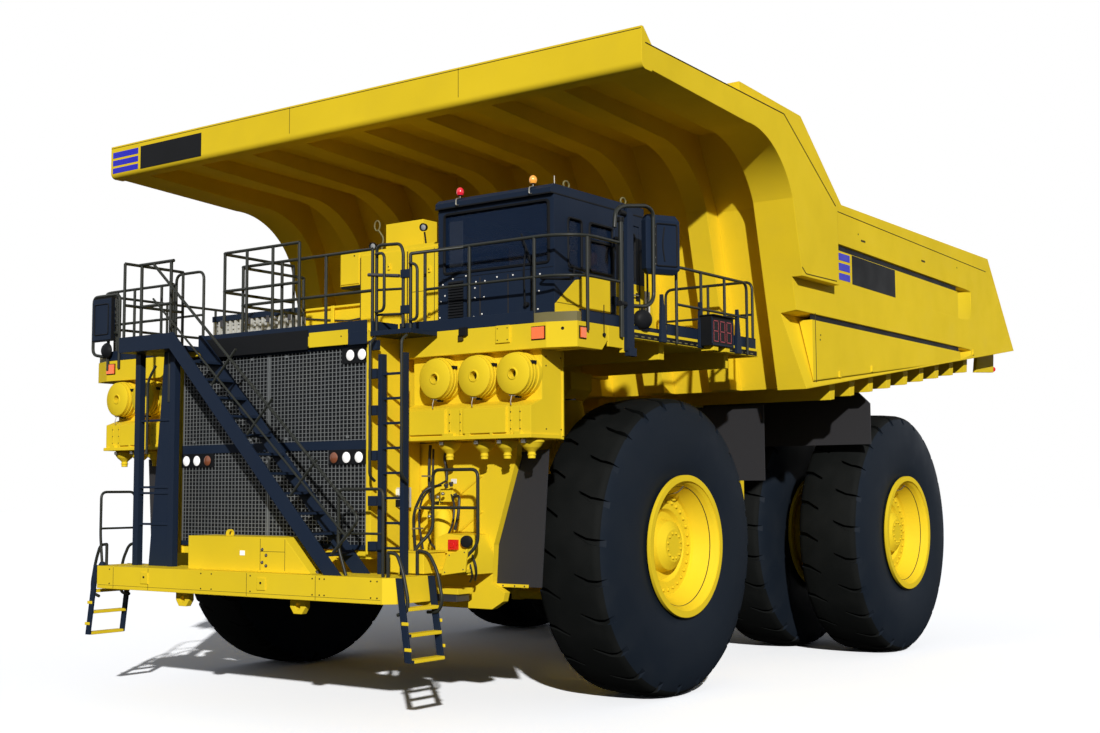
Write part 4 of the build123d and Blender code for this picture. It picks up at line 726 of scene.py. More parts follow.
class TRUCK_OT_bumper_fittings(bpy.types.Operator):
    """Add the bumper's panel seams, latches, loop rails and cabinet doors"""
    bl_idname = "truck.bumper_fittings"
    bl_label = "Bumper fittings"

    def execute(self, context):
        shape = Shape(seam())
        front = BUMPER_FRONT
        z0, z1 = BUMPER_UNDER, BUMPER_TOP
        for x in (-2.28, -1.55, 0.35, 1.55):
            shape.box(x - 0.004, x + 0.004, front - 0.0012, front + 0.002, z0 + 0.01, z1 - 0.01)
        shape.box(-2.6, 2.6, front - 0.0012, front + 0.002, z0 + 0.045, z0 + 0.05)
        for x in (-1.62, 0.62):
            shape.box(x - 0.075, x + 0.075, front - 0.012, front, z0 + 0.09, z0 + 0.24, yellow())
            shape.turned([(0, 0.014), (0.012, 0.014)], (x, front - 0.012, z0 + 0.18), FORWARD, 12,
                         black())
        for x in (-2.68, -2.36, -0.5, -0.3, 0.42, 1.5, 1.62, 1.7, 2.45, 2.55):
            for z in (z0 + 0.07, z1 - 0.04):
                shape.turned([(0, 0.011), (0.006, 0.009)], (x, front, z), FORWARD, 8, black())
        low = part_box("bumper_cabinet")[0]
        top = z1 + 0.43
        for x in (0.42, 0.86):
            shape.box(x - 0.004, x + 0.004, low.y - 0.0012, low.y + 0.002, z1 + 0.02, top - 0.02)
        shape.box(0.42, 0.86, low.y - 0.0012, low.y + 0.002, z1 + 0.25, z1 + 0.256)
        for x, z in ((0.46, 1.9), (0.46, 2.06), (0.53, 1.86), (0.53, 1.99)):
            shape.bolt((x, low.y, z), FORWARD, 0.016, steel())
        shape.box(0.05, 0.14, low.y - 0.004, low.y, 1.98, 2.04, white_lens())
        for x in (-0.72, -0.2, 0.28):
            shape.box(x - 0.11, x + 0.11, low.y - 0.03, low.y, z1, z1 + 0.012, yellow())
        # anti-slip studs and pins on the bumper's deck
        for x, y in ((1.05, -4.2), (1.16, -4.1), (1.3, -4.22), (1.38, -4.05), (1.22, -4.0)):
            shape.turned([(0, 0.03), (0.03, 0.03), (0.035, 0.022)], (x, behind(y), z1), UP, 12, steel())
        shape.make("bumper_details", "chassis", 0.002)
        rails = Shape(tube_black())
        r = 0.019
        y0, y1 = behind(-4.42), behind(-3.86)
        rails.tube([(-2.64, y0, z1), (-2.69, y0, z1 + 0.4), (-2.69, y0, z1 + 1.0), (-2.69, y1, z1 + 1.0),
                    (-2.69, y1, z1 + 0.4), (-2.64, y1, z1)], r, 0.09)
        rails.tube([(-2.69, y0, z1 + 0.5), (-2.69, y1, z1 + 0.5)], r * 0.8)
        for y in (y0, y1):
            rails.turned([(0, 0.05), (0.012, 0.05), (0.05, 0.028)], (-2.64, y, z1), UP, 16, navy())
        # loop rail beside the foot of the stair
        y = behind(-4.38)
        rails.tube([(1.93, y, z1), (1.8, y, z1 + 0.34), (1.8, y, z1 + 1.02), (2.52, y, z1 + 1.02),
                    (2.52, y, z1)], r, 0.09)
        rails.tube([(1.8, y, z1 + 0.5), (2.52, y, z1 + 0.5)], r * 0.8)
        rails.make("bumper_rails", "chassis")
        steps = Shape(yellow())
        foot = 0.83
        lean = 0.15 / (z1 - foot)
        for side in (-1, 1):
            for z in (foot, foot + 0.29, foot + 0.58):
                x = 2.748 + lean * (z1 - z)
                steps.box(side * (x - 0.012), side * (x + 0.122), behind(-4.39), behind(-3.857),
                          z - 0.002, z + 0.037)
                for y in (-4.419, -3.828):
                    if z < foot + 0.5:
                        steps.box(side * (x - 0.005), side * (x + 0.1), behind(y) - 0.004,
                                  behind(y) + 0.004, z + 0.13, z + 0.17)
        steps.make("step_pads", "chassis", 0.004)
        return {"FINISHED"}


class TRUCK_OT_stair_fittings(bpy.types.Operator):
    """Add the stair's handrail and grip treads"""
    bl_idname = "truck.stair_fittings"
    bl_label = "Stair fittings"

    def execute(self, context):
        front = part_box("stairway")[0].y
        foot, head = Vector((1.98, 0, BUMPER_TOP)), Vector((-1.18, 0, DECK_TOP + 0.14))
        run = (head - foot).normalized()
        out = Vector((0.72, 0, 0.69))
        y = front + 0.012
        r = 0.019
        shape = Shape(tube_black())
        start = foot + run * 0.35
        rail = [start, start + out * 0.62, Vector((-1.66, 0, 5.85))]
        shape.tube([(p.x, y, p.z) for p in rail], r, 0.1)
        for t in (1.35, 2.45, 3.4):
            p = foot + run * t
            q = p + out * 0.62
            shape.tube([(p.x, y, p.z), (q.x, y, q.z)], r * 0.9)
        mid0, mid1 = start + out * 0.32, Vector((-1.66, 0, 5.38))
        shape.tube([(mid0.x, y, mid0.z), (mid1.x, y, mid1.z)], r * 0.75)
        shape.make("stair_handrail", "chassis")
        treads = Shape(black())
        rise = DECK_TOP - BUMPER_TOP
        steps = 11
        for i in range(1, steps + 1):
            z = BUMPER_TOP + rise * i / (steps + 1)
            x = STAIR_FOOT - (z - BUMPER_TOP) * (STAIR_FOOT - STAIR_TOP) / rise
            for k in range(7):
                u = x - 0.01 + k * 0.035
                treads.box(u, u + 0.012, front + 0.035, behind(-3.92), z, z + 0.006)
        treads.make("stair_grips", "chassis")
        return {"FINISHED"}


class TRUCK_OT_ladder_fittings(bpy.types.Operator):
    """Add the grab rails and brackets of both front ladders"""
    bl_idname = "truck.ladder_fittings"
    bl_label = "Ladder fittings"

    def execute(self, context):
        shape = Shape(tube_black())
        r = 0.018
        y = behind(-3.99)
        for x in (2.02, 2.53):
            shape.tube([(x, y, 2.9), (x, y - 0.09, 2.96), (x, y - 0.09, 4.58), (x, y, 4.64)], r, 0.06)
        for z in (2.05, 2.6, 3.15, 3.7, 4.15, 4.5):
            shape.box(1.86, 1.99, behind(-3.94), behind(-3.87), z, z + 0.12, navy())
        # tall posts on the right, carried up past the landing
        y = behind(-4.105)
        for x in (-2.31, -1.68):
            shape.tube([(x, y, 4.0), (x, y, GATE_TOP)], r * 1.3)
        for z in (GATE_TOP + 0.01, GATE_MIDDLE):
            shape.tube([(-2.36, y, z), (-1.63, y, z)], r * 1.3)
        shape.tube([(-2.06, y - 0.06, 3.3), (-2.06, y - 0.06, 4.3), (-1.9, y - 0.06, 4.5)], r, 0.1)
        shape.make("ladder_rails", "chassis")
        return {"FINISHED"}


# ---- Decks -----------------------------------------------------------------------------
class TRUCK_OT_toe_boards(bpy.types.Operator):
    """Stand the toe boards on the deck edges and lay the walkway's edge below them"""
    bl_idname = "truck.toe_boards"
    bl_label = "Toe boards"

    def execute(self, context):
        shape = Shape(navy())
        low, high = DECK_TOP + 0.0005, DECK_TOP + 0.145
        t = 0.012
        inner = DECK_INNER
        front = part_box("deck_center")[0].y
        shape.box(inner, 3.92, DECK_FACE, DECK_FACE + t, low, high)
        shape.box(-4.08, -2.42, DECK_FACE, DECK_FACE + t, low, high)
        shape.box(STAIR_TOP + 0.02, inner - 0.02, front, front + t, low, high)
        # the cab door swings over the low sill beside it
        for sign, y0, y1, top in ((1, -3.1, -2.3, high), (1, -1.98, -1.2, DECK_TOP + 0.055),
                                  (1, -1.18, 1.2, high), (-1, -3.1, 1.2, high)):
            x = sign * (DECK_SIDE - 0.001)
            shape.box(x, x - sign * t, behind(y0), behind(y1), low, top)
            shape.box(x, x - sign * 0.05, behind(y0), behind(y1), top - 0.01, top)
        shape.make("toe_boards", "chassis", 0.003)
        edge = Shape(olive())
        # the bare corner piece, the walkway's dark edge and its row of slots
        for sign in (-1, 1):
            corner = [(sign * 3.93, DECK_FACE + 0.004), (sign * 4.12, DECK_FACE + 0.004),
                      (sign * (DECK_SIDE - 0.01), DECK_FACE + 0.13),
                      (sign * (DECK_SIDE - 0.01), behind(-3.11)),
                      (sign * (DECK_SIDE - 0.03), behind(-3.11)),
                      (sign * (DECK_SIDE - 0.03), DECK_FACE + 0.14),
                      (sign * 4.11, DECK_FACE + 0.02), (sign * 3.93, DECK_FACE + 0.02)]
            edge.prism(corner, "z", low, high - 0.03)
            x = sign * DECK_SIDE
            edge.box(x, x + sign * 0.004, behind(-2.2), behind(1.22), DECK_TOP - 0.1, DECK_TOP - 0.035,
                     black())
            for i in range(22):
                y = behind(-2.12 + i * 0.15)
                edge.box(x + sign * 0.003, x + sign * 0.006, y, y + 0.07, DECK_TOP - 0.085,
                         DECK_TOP - 0.07)
        edge.make("walkway_edges", "chassis")
        face = Shape(black())
        # fittings on the left deck's front: clamp block, bolted plate, plug and hanging hook
        y = DECK_FACE
        face.box(2.82, 2.93, y - 0.05, y + 0.001, 4.66, 4.76)
        face.box(2.79, 2.86, y - 0.03, y + 0.001, 4.60, 4.67, seam())
        face.box(3.37, 3.58, y - 0.02, y + 0.001, 4.535, 4.745, yellow())
        for x in (3.40, 3.55):
            for z in (4.57, 4.71):
                face.turned([(0, 0.008), (0.006, 0.007)], (x, y - 0.02, z), FORWARD, 8)
        face.turned([(0, 0.02), (0.003, 0.02)], (4.3, DECK_FACE + 0.065, 4.66), (0.32, -0.95, 0), 16)
        for x in (4.17, 4.25):
            face.turned([(0, 0.006), (0.003, 0.006)], (x, DECK_FACE + 0.02 + (x - 4.11) * 0.33, 4.715),
                        (0.32, -0.95, 0), 10)
        face.tube([(DECK_SIDE + 0.012, behind(-2.66), 4.98), (DECK_SIDE + 0.012, behind(-2.66), 4.64)],
                  0.006)
        face.turned([(-0.012, 0.022), (0.012, 0.022)], (DECK_SIDE + 0.014, behind(-2.66), 4.62), ACROSS,
                    14)
        # hanging plate at the back of the deep skirt
        face.box(DECK_SIDE - 0.02, DECK_SIDE + 0.004, behind(-2.56), behind(-2.20), 4.49, 4.74, yellow())
        face.box(DECK_SIDE - 0.05, DECK_SIDE + 0.006, behind(-2.24), behind(-2.20), 4.44, 4.74, yellow())
        # side marker lamps
        for sign in (-1, 1):
            x = sign * DECK_SIDE
            face.box(x - sign * 0.02, x + sign * 0.012, behind(-3.17), behind(-3.03), 4.54, 4.69, seam())
            face.box(x, x + sign * 0.025, behind(-3.155), behind(-3.045), 4.55, 4.67, orange_lens())
        # the panels over the radiator and the bare name plate
        face.box(0.79, 1.47, front - 0.006, front + 0.001, 4.60, 4.79, yellow())
        face.box(1.49, 1.80, front - 0.02, front + 0.001, 4.59, 4.75, navy())
        face.box(-1.25, 0.77, front - 0.012, front + 0.001, 4.58, 4.83)
        face.turned([(0, 0.01), (0.003, 0.01)], (1.36, front - 0.006, 4.71), FORWARD, 12)
        face.make("deck_face_fittings", "chassis", 0.003)
        return {"FINISHED"}


class TRUCK_OT_cabinets(bpy.types.Operator):
    """Add the seams, latches and lamps of the electrical cabinets and the retarder's lid"""
    bl_idname = "truck.cabinets"
    bl_label = "Cabinets"

    def execute(self, context):
        shape = Shape(black())
        y = behind(-2.52)
        for x in (0.36, 1.22, 1.70):
            shape.box(x - 0.005, x + 0.005, y - 0.002, y + 0.01, 4.86, 5.98, seam())
        shape.box(1.25, 2.10, y - 0.002, y + 0.002, 5.416, 5.424, seam())
        for x, z in ((0.9, 5.0), (0.9, 5.8), (1.62, 5.1), (1.62, 5.7), (0.55, 4.95)):
            shape.box(x - 0.02, x + 0.02, y - 0.02, y, z - 0.04, z + 0.04, yellow())
            shape.turned([(0, 0.009), (0.006, 0.009)], (x, y - 0.02, z), FORWARD, 8)
        y = behind(-2.50)
        shape.box(0.146, 0.154, y - 0.002, y + 0.002, 5.63, 6.09, seam())
        shape.box(-0.02, 0.32, y - 0.014, y, 5.63, 6.09, yellow())
        shape.turned([(0, 0.012), (0.005, 0.012)], (0.24, y - 0.014, 6.02), FORWARD, 10)
        # painted shade: a black box fills the gap under the upper cabinet
        shape.box(-0.03, 0.33, y + 0.005, y + 0.5, 5.58, 5.615)
        # work lamps on the cabinet's top edge, with a lifting eye beside one
        for x, z in ((0.50, 6.14), (1.42, 6.30)):
            shape.turned([(-0.06, 0.02), (-0.03, 0.05), (0.02, 0.055), (0.02, 0.048), (0.0, 0.04),
                          (0.0, 0.001)], (x, behind(-2.42), z), (0.15, -1, -0.1), 24)
            shape.turned([(0.0, 0.042), (0.008, 0.03), (0.012, 0.001)], (x, behind(-2.42), z),
                         (0.15, -1, -0.1), 20, dash_grey())
            shape.tube([(x, behind(-2.4), z - 0.06), (x, behind(-2.36), 6.05)], 0.012)
        loop = [(0.56 + u, behind(-2.4), 6.42 + v) for u, v in circle(14, 0.05, 0.07)]
        shape.tube(loop, 0.011, 0, olive(), closed=True)
        shape.tube([(0.58, behind(-2.4), 6.36), (0.68, behind(-2.4), 6.24), (0.64, behind(-2.4), 6.06)],
                   0.012, 0.05, olive())
        # lid, strap and cable over the low cabinet
        shape.box(-0.80, 0.345, behind(-2.50), behind(-1.88), 5.325, 5.355, yellow())
        shape.box(-0.22, -0.16, behind(-2.505), behind(-2.49), 5.1, 5.36, yellow())
        shape.tube([(-0.75, behind(-2.47), 5.22), (-0.3, behind(-2.47), 5.17),
                    (0.1, behind(-2.47), 5.13), (0.33, behind(-2.47), 5.15)], 0.012, 0.1, hose_rubber())
        shape.make("cabinet_details", "chassis", 0.002)
        lid = Shape(navy())
        low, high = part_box("retarder_grid")
        lid.box(low.x, high.x, low.y, high.y, high.z - 0.072, high.z)
        lid.box(low.x - 0.01, high.x + 0.01, low.y - 0.01, low.y + 0.06, high.z - 0.075, high.z + 0.01)
        for x in (low.x + 0.2, low.x + 0.8, high.x - 0.6, high.x - 0.15):
            lid.box(x - 0.03, x + 0.03, low.y - 0.014, low.y, high.z - 0.16, high.z - 0.06, steel())
        fins = 15
        pitch = (high.x - low.x - 0.04) / fins
        for i in range(fins):
            x = low.x + 0.04 + pitch * i
            for k in range(6):
                z = DECK_TOP + 0.26 + k * 0.065
                lid.prism([(low.y + 0.03, z), (low.y + 0.03, z + 0.006), (low.y + 0.068, z + 0.03),
                           (low.y + 0.068, z + 0.024)], "x", x, x + pitch - 0.04, grey())
        for i in range(3):
            x = low.x + 0.45 + i * 0.5
            lid.box(x, x + 0.4, low.y - 0.006, low.y + 0.002, DECK_TOP + 0.03, DECK_TOP + 0.2, grey())
        lid.make("retarder_lid", "chassis", 0.003)
        return {"FINISHED"}


class TRUCK_OT_gate_rails(bpy.types.Operator):
    """Hang the walkway gate and its grab handles between the centre and left decks"""
    bl_idname = "truck.gate_rails"
    bl_label = "Gate rails"

    def execute(self, context):
        r = settings().rail_radius
        shape = Shape(tube_black())
        y = behind(-3.80)
        # gate: frame, handle loops and hinges
        x0, x1 = 1.86, 2.30
        shape.tube([(x0, y, DECK_TOP), (x0, y, 5.82), (x1 - 0.05, y, 5.8), (x1, y, 5.7),
                    (x1, y, DECK_TOP + 0.02)], r, 0.09)
        for z in (5.26, 4.95):
            shape.tube([(x0, y, z), (x1, y, z - 0.02)], r * 0.8)
        shape.tube([(x0 + 0.03, y - 0.05, 5.7), (x0 + 0.2, y - 0.08, 5.7), (x0 + 0.2, y - 0.08, 4.98),
                    (x0 + 0.03, y - 0.05, 4.98)], r * 0.9, 0.1)
        shape.tube([(x0 - 0.12, y - 0.02, 5.46), (x1 - 0.05, y - 0.02, 5.4)], r * 1.1, 0, steel())
        for z in (5.42, 4.98):
            shape.box(x1 - 0.02, x1 + 0.12, y - 0.03, y + 0.03, z - 0.05, z + 0.05, navy())
        x = x1 + 0.12
        shape.tube([(x, y, DECK_TOP), (x, y, 5.66), (x + 0.5, y + 0.4, 5.74)], r, 0.02)
        shape.tube([(x + 0.02, y - 0.04, 5.54), (x + 0.16, y - 0.06, 5.5), (x + 0.16, y - 0.06, 4.84),
                    (x + 0.02, y - 0.04, 4.84)], r * 0.9, 0.09)
        shape.make("gate_rails", "chassis")
        bits = Shape(navy())
        bits.box(x0 - 0.05, x + 0.05, behind(-3.86), behind(-3.36), DECK_TOP - 0.06, DECK_TOP)
        bits.box(x0 - 0.04, x0 - 0.02, behind(-3.84), behind(-3.38), DECK_TOP, DECK_TOP + 0.13)
        bits.make("gate_sill", "chassis", 0.003)
        return {"FINISHED"}


# ---- Intake and service area --------------------------------------------------------------
class TRUCK_OT_air_cleaners(bpy.types.Operator):
    """Add the clamps, pins, boxes and dust-cup bands of the air cleaners"""
    bl_idname = "truck.air_cleaners"
    bl_label = "Air cleaners"

    def execute(self, context):
        for side, name in ((1, "left"), (-1, "right")):
            shape = Shape(yellow())
            end = behind(-3.43)
            tray = behind(-3.42)
            for x in (2.49, 3.11, 3.70):
                x *= side
                shape.turned([(-0.004, 0.244), (-0.01, 0.236), (-0.01, 0.075), (-0.02, 0.068),
                              (-0.02, 0.056), (0.0, 0.056), (0.0, 0.249)], (x, end, CANISTER_Z),
                             BACKWARD, 48, ring=True)
                shape.turned([(0.07, 0.001), (0.075, 0.054), (0.078, 0.001)], (x, end, CANISTER_Z),
                             BACKWARD, 24, seam())
                shape.turned([(0.085, 0.249), (0.09, 0.263), (0.11, 0.263), (0.115, 0.249)],
                             (x, end, CANISTER_Z), BACKWARD, 48, ring=True)
                for a in (-60, 60, 180):
                    t = math.radians(a)
                    p = (x + 0.262 * math.sin(t), end + 0.10, CANISTER_Z + 0.262 * math.cos(t))
                    shape.box(p[0] - 0.02, p[0] + 0.02, end + 0.06, end + 0.14, p[2] - 0.02, p[2] + 0.02,
                              black())
                # wing pin under each canister
                shape.tube([(x - 0.03, end + 0.02, 3.91), (x - 0.03, end - 0.01, 3.82),
                            (x - 0.01, end - 0.02, 3.78)], 0.006, 0.02, bolt_steel())
                shape.tube([(x - 0.07, end + 0.02, 3.9), (x + 0.02, end + 0.02, 3.89)], 0.008, 0,
                           bolt_steel())
            # two boxes on the tray's front, with a bolted flange between and beside them
            for x0, x1 in ((2.0, 2.66), (2.95, 3.60)):
                shape.prism([(tray - 0.028, 3.46), (tray - 0.028, 3.755), (tray + 0.06, 3.8),
                             (tray + 0.06, 3.46)], "x", side * x0, side * x1)
            for x in (2.72, 2.89, 3.66, 3.80):
                for z in (3.5, 3.6, 3.7):
                    shape.turned([(0, 0.009), (0.006, 0.008)], (side * x, tray, z), FORWARD, 8, black())
                shape.box(side * (x - 0.012), side * (x + 0.012), tray - 0.004, tray, 3.45, 3.75)
            for x0, x1 in ((2.0, 2.09), (2.62, 2.80), (2.98, 3.06), (3.36, 3.40), (3.72, 3.82)):
                shape.box(side * x0, side * x1, tray - 0.029, tray + 0.02, 3.39, 3.47)
            # side panel: stiffener and bolts
            x = side * 3.956
            for y, z in ((-3.12, 4.36), (-3.12, 4.25), (-2.82, 4.36), (-2.82, 3.5), (-3.12, 3.5)):
                shape.turned([(0, 0.01), (0.006, 0.008)], (x, behind(y), z), (side, 0, 0), 8, black())
            shape.box(x - side * 0.002, x + side * 0.012, behind(-2.8), behind(-2.77), 3.42, 4.43)
            # dust cups: clamp band with its screw
            for x in (2.54, 3.085, 3.437, 3.80):
                x *= side
                y = behind(-3.20)
                shape.turned([(-0.015, 0.138), (-0.012, 0.152), (0.012, 0.152), (0.015, 0.138)],
                             (x, y, 3.355), UP, 36, ring=True)
                shape.box(x - 0.03, x + 0.03, y - 0.168, y - 0.145, 3.335, 3.375, bolt_steel())
                shape.turned([(-0.008, 0.046), (-0.008, 0.052), (0.008, 0.052), (0.008, 0.046)],
                             (x, y, 3.2), UP, 24, ring=True)
                shape.turned([(0, 0.04), (0.002, 0.04)], (x, y, 3.1545), DOWN, 20, black())
            shape.make(f"air_cleaner_{name}_details", "chassis", 0.002)
        return {"FINISHED"}


class TRUCK_OT_service_point(bpy.types.Operator):
    """Build the valves, hoses, caps and boxes between the left ladder and the front tyre"""
    bl_idname = "truck.service_point"
    bl_label = "Service point"

    def execute(self, context):
        shape = Shape(yellow())
        wall = behind(-2.90)
        # lower cabinet on the bumper's end, and the capped box behind it
        shape.box(2.15, 2.68, behind(-3.85), behind(-3.45), 1.8, 2.05)
        shape.box(2.14, 2.7, behind(-3.86), behind(-3.44), 2.045, 2.06)
        shape.prism([(2.46, 1.77), (2.46, 2.2), (2.62, 2.26), (2.9, 2.24), (2.98, 2.02), (2.98, 1.77)],
                    "y", behind(-3.38), wall)
        shape.prism([(2.84, 1.78), (2.93, 2.03), (3.24, 2.1), (3.2, 1.83)], "y", behind(-3.72),
                    behind(-3.69))
        shape.box(2.6, 3.0, behind(-3.7), behind(-3.36), 1.8, 1.84)
        for x, z in ((2.90, 1.82), (3.18, 1.86), (2.97, 2.02), (3.20, 2.06)):
            shape.turned([(0, 0.009), (0.007, 0.008)], (x, behind(-3.72), z), FORWARD, 8, steel())
        # stiffeners of the wall
        for a, b in (((2.41, 2.70), (2.81, 2.96)), ((2.41, 2.24), (2.81, 2.52))):
            shape.tube([(a[0], wall - 0.006, a[1]), (b[0], wall - 0.006, b[1])], 0.014, sides=6)
        for z in (2.0, 2.45, 2.9, 3.3):
            shape.turned([(0, 0.011), (0.008, 0.01)], (1.95, wall, z), FORWARD, 8, steel())
        # fuel filler: red cap and black cap on short necks
        shape.box(2.70, 2.83, behind(-3.43), behind(-3.37), 2.07, 2.19, red_cap())
        shape.turned([(0, 0.035), (0.01, 0.035)], (2.765, behind(-3.43), 2.13), FORWARD, 20, red_cap())
        shape.turned([(0, 0.05), (0.05, 0.05), (0.055, 0.072), (0.11, 0.072), (0.115, 0.06)],
                     (2.945, behind(-3.32), 2.17), (0.3, -1, 0), 28, black())
        # blank plates
        shape.box(2.31, 2.40, wall - 0.006, wall, 2.865, 2.925, white())
        shape.box(2.30, 2.335, behind(-3.16), behind(-3.15), 2.30, 2.52, white())
        # switch box behind the ladder
        shape.box(1.56, 1.89, behind(-3.36), behind(-3.18), 2.57, 2.82, grey())
        shape.box(1.60, 1.85, behind(-3.375), behind(-3.36), 2.68, 2.80, white())
        shape.box(1.66, 1.86, behind(-3.38), behind(-3.36), 2.58, 2.67, black())
        # valve stack with its domed accumulator
        shape.turned([(0, 0.11), (0.42, 0.11), (0.5, 0.085), (0.54, 0.04)], (2.36, behind(-3.12), 2.02),
                     UP, 28)
        shape.box(2.18, 2.34, behind(-3.2), behind(-2.95), 2.4, 2.6)
        shape.box(2.3, 2.5, behind(-3.1), behind(-2.95), 2.64, 2.8)
        for x, z in ((2.21, 2.62), (2.28, 2.66), (2.36, 2.84), (2.44, 2.86), (2.50, 2.72), (2.17, 2.50)):
            shape.turned([(0, 0.022), (0.02, 0.022), (0.03, 0.03), (0.055, 0.03)],
                         (x, behind(-3.05), z - 0.03), (0, -0.25, 1), 12, steel())
        for x, z in ((2.22, 2.46), (2.27, 2.52), (2.36, 2.70), (2.44, 2.74)):
            shape.turned([(0, 0.02), (0.03, 0.02), (0.035, 0.014)], (x, behind(-3.2), z), FORWARD, 10,
                         bolt_steel())
        # small boxes under the cabinet
        shape.box(2.42, 2.76, behind(-3.34), behind(-3.1), 1.44, 1.53, steel())
        shape.box(2.4, 2.8, behind(-3.36), behind(-3.08), 1.53, 1.6)
        shape.make("service_point", "chassis", 0.004)
        hoses = Shape(hose_rubber())
        lines = (((2.05, -3.0, 3.35), (2.08, -3.06, 3.1), (2.12, -3.1, 2.8), (2.2, -3.1, 2.62)),
                 ((2.1, -3.0, 3.3), (2.16, -3.08, 2.95), (2.14, -3.12, 2.7), (2.24, -3.1, 2.55)),
                 ((2.38, -3.08, 2.9), (2.1, -3.2, 2.74), (2.02, -3.2, 2.45), (2.06, -3.15, 2.05)),
                 ((2.3, -3.08, 2.85), (2.16, -3.24, 2.8), (1.98, -3.25, 2.5), (1.98, -3.2, 1.98)),
                 ((2.46, -3.08, 2.74), (2.62, -3.2, 2.6), (2.6, -3.22, 2.36), (2.5, -3.2, 2.22)),
                 ((2.28, -3.1, 2.4), (2.22, -3.24, 2.28), (2.28, -3.28, 2.14), (2.42, -3.3, 2.06)),
                 ((2.52, -3.1, 2.7), (2.66, -3.16, 2.72), (2.68, -3.2, 2.5), (2.62, -3.2, 2.3)),
                 ((2.96, -3.3, 2.02), (3.06, -3.34, 1.9), (3.04, -3.3, 1.78), (2.94, -3.2, 1.7)),
                 ((2.9, -3.3, 1.98), (3.0, -3.36, 1.86), (2.98, -3.3, 1.74), (2.86, -3.2, 1.68)),
                 ((2.34, -2.96, 3.34), (2.3, -3.04, 3.2), (2.36, -3.04, 3.05), (2.36, -3.05, 2.9)))
        for i, points in enumerate(lines):
            hoses.tube([(x, behind(y), z) for x, y, z in points], 0.014 if i % 3 else 0.019, 0.14,
                       sides=8)
        for x, z in ((2.0, 2.3), (2.06, 2.55), (2.16, 2.95)):
            hoses.box(x - 0.03, x + 0.06, behind(-3.26), behind(-3.14), z, z + 0.02, bolt_steel())
        hoses.make("service_hoses", "chassis")
        # guard frame in front of the valves, and the two grab loops at the bumper's end
        rails = Shape(tube_black())
        r = settings().rail_radius
        y = behind(-3.52)
        rails.tube([(2.3, behind(-3.72), 1.85), (2.4, behind(-3.66), 2.1), (2.54, y, 2.3),
                    (2.54, y, 3.03), (3.24, y, 3.03), (3.24, y, 2.14), (3.1, behind(-3.6), 1.98),
                    (3.04, behind(-3.68), 1.84)], r, 0.1)
        rails.tube([(2.36, y, 2.575), (3.24, y, 2.575)], r * 0.9)
        rails.tube([(2.36, y, 2.575), (2.28, behind(-3.3), 2.56), (2.28, wall, 2.56)], r * 0.9, 0.05)
        front_loop = ((2.6, 2.07), (2.74, 2.06), (2.83, 1.86), (2.91, 1.54), (2.9, 1.4), (2.75, 1.36))
        back_loop = ((2.62, 2.07), (2.78, 2.05), (2.91, 1.84), (2.99, 1.51), (2.94, 1.37), (2.76, 1.36))
        for y, points in ((-4.38, front_loop), (-3.87, back_loop)):
            for sign in (1, -1):
                rails.tube([(sign * x, behind(y), z) for x, z in points], r, 0.09)
                rails.tube([(sign * 2.6, behind(y), 2.07), (sign * 2.6, behind(y), BUMPER_TOP)], r)
        rails.make("service_rails", "chassis")
        # yellow edge strips of the front flaps
        strips = Shape(yellow())
        for sign in (1, -1):
            y = behind(-2.80)
            strips.prism([(sign * x, z) for x, z in ((2.8, 1.6), (2.85, 1.6), (2.85, 2.11), (3.29, 3.22),
                                                     (3.24, 3.22), (2.8, 2.12))], "y", y - 0.012,
                         y - 0.001)
            strips.box(sign * 2.8, sign * 3.45, y - 0.02, y - 0.001, 1.6, 1.64)
            for x in (2.9, 3.07, 3.25, 3.4):
                strips.turned([(0, 0.01), (0.008, 0.01)], (sign * x, y - 0.02, 1.62), FORWARD, 8,
                              steel())
            for t in (0.1, 0.35, 0.6, 0.85):
                x = sign * (2.83 + 0.42 * t)
                strips.turned([(0, 0.009), (0.008, 0.008)], (x, y - 0.012, 2.13 + 1.06 * t), FORWARD, 8,
                              steel())
        strips.make("flap_strips", "chassis", 0.002)
        return {"FINISHED"}


# ---- Cab -------------------------------------------------------------------------------
CAB_SIDE, CAB_FACE, CAB_REAR, CAB_INNER = 4.0, behind(-3.0), behind(-0.98), 2.18
CAB_FLOOR, CAB_ROOF = DECK_TOP + 0.06, 6.46
WINDOW_SILL, WINDOW_HEAD = 5.48, 6.09


def gasket(shape, axis, at, outline, radius=0.016):
    """A rubber moulding round a window, in the plane across axis."""
    turn = {"x": lambda a, b: (at, behind(a), b), "y": lambda a, b: (a, at, b)}[axis]
    shape.tube([turn(a, b) for a, b in outline], radius, 0.05, sides=6, closed=True)


def side_patch(shape, outline):
    """A painted yellow area of the cab's side."""
    shape.prism([(behind(y), z) for y, z in outline], "x", CAB_SIDE, CAB_SIDE + 0.003, yellow())


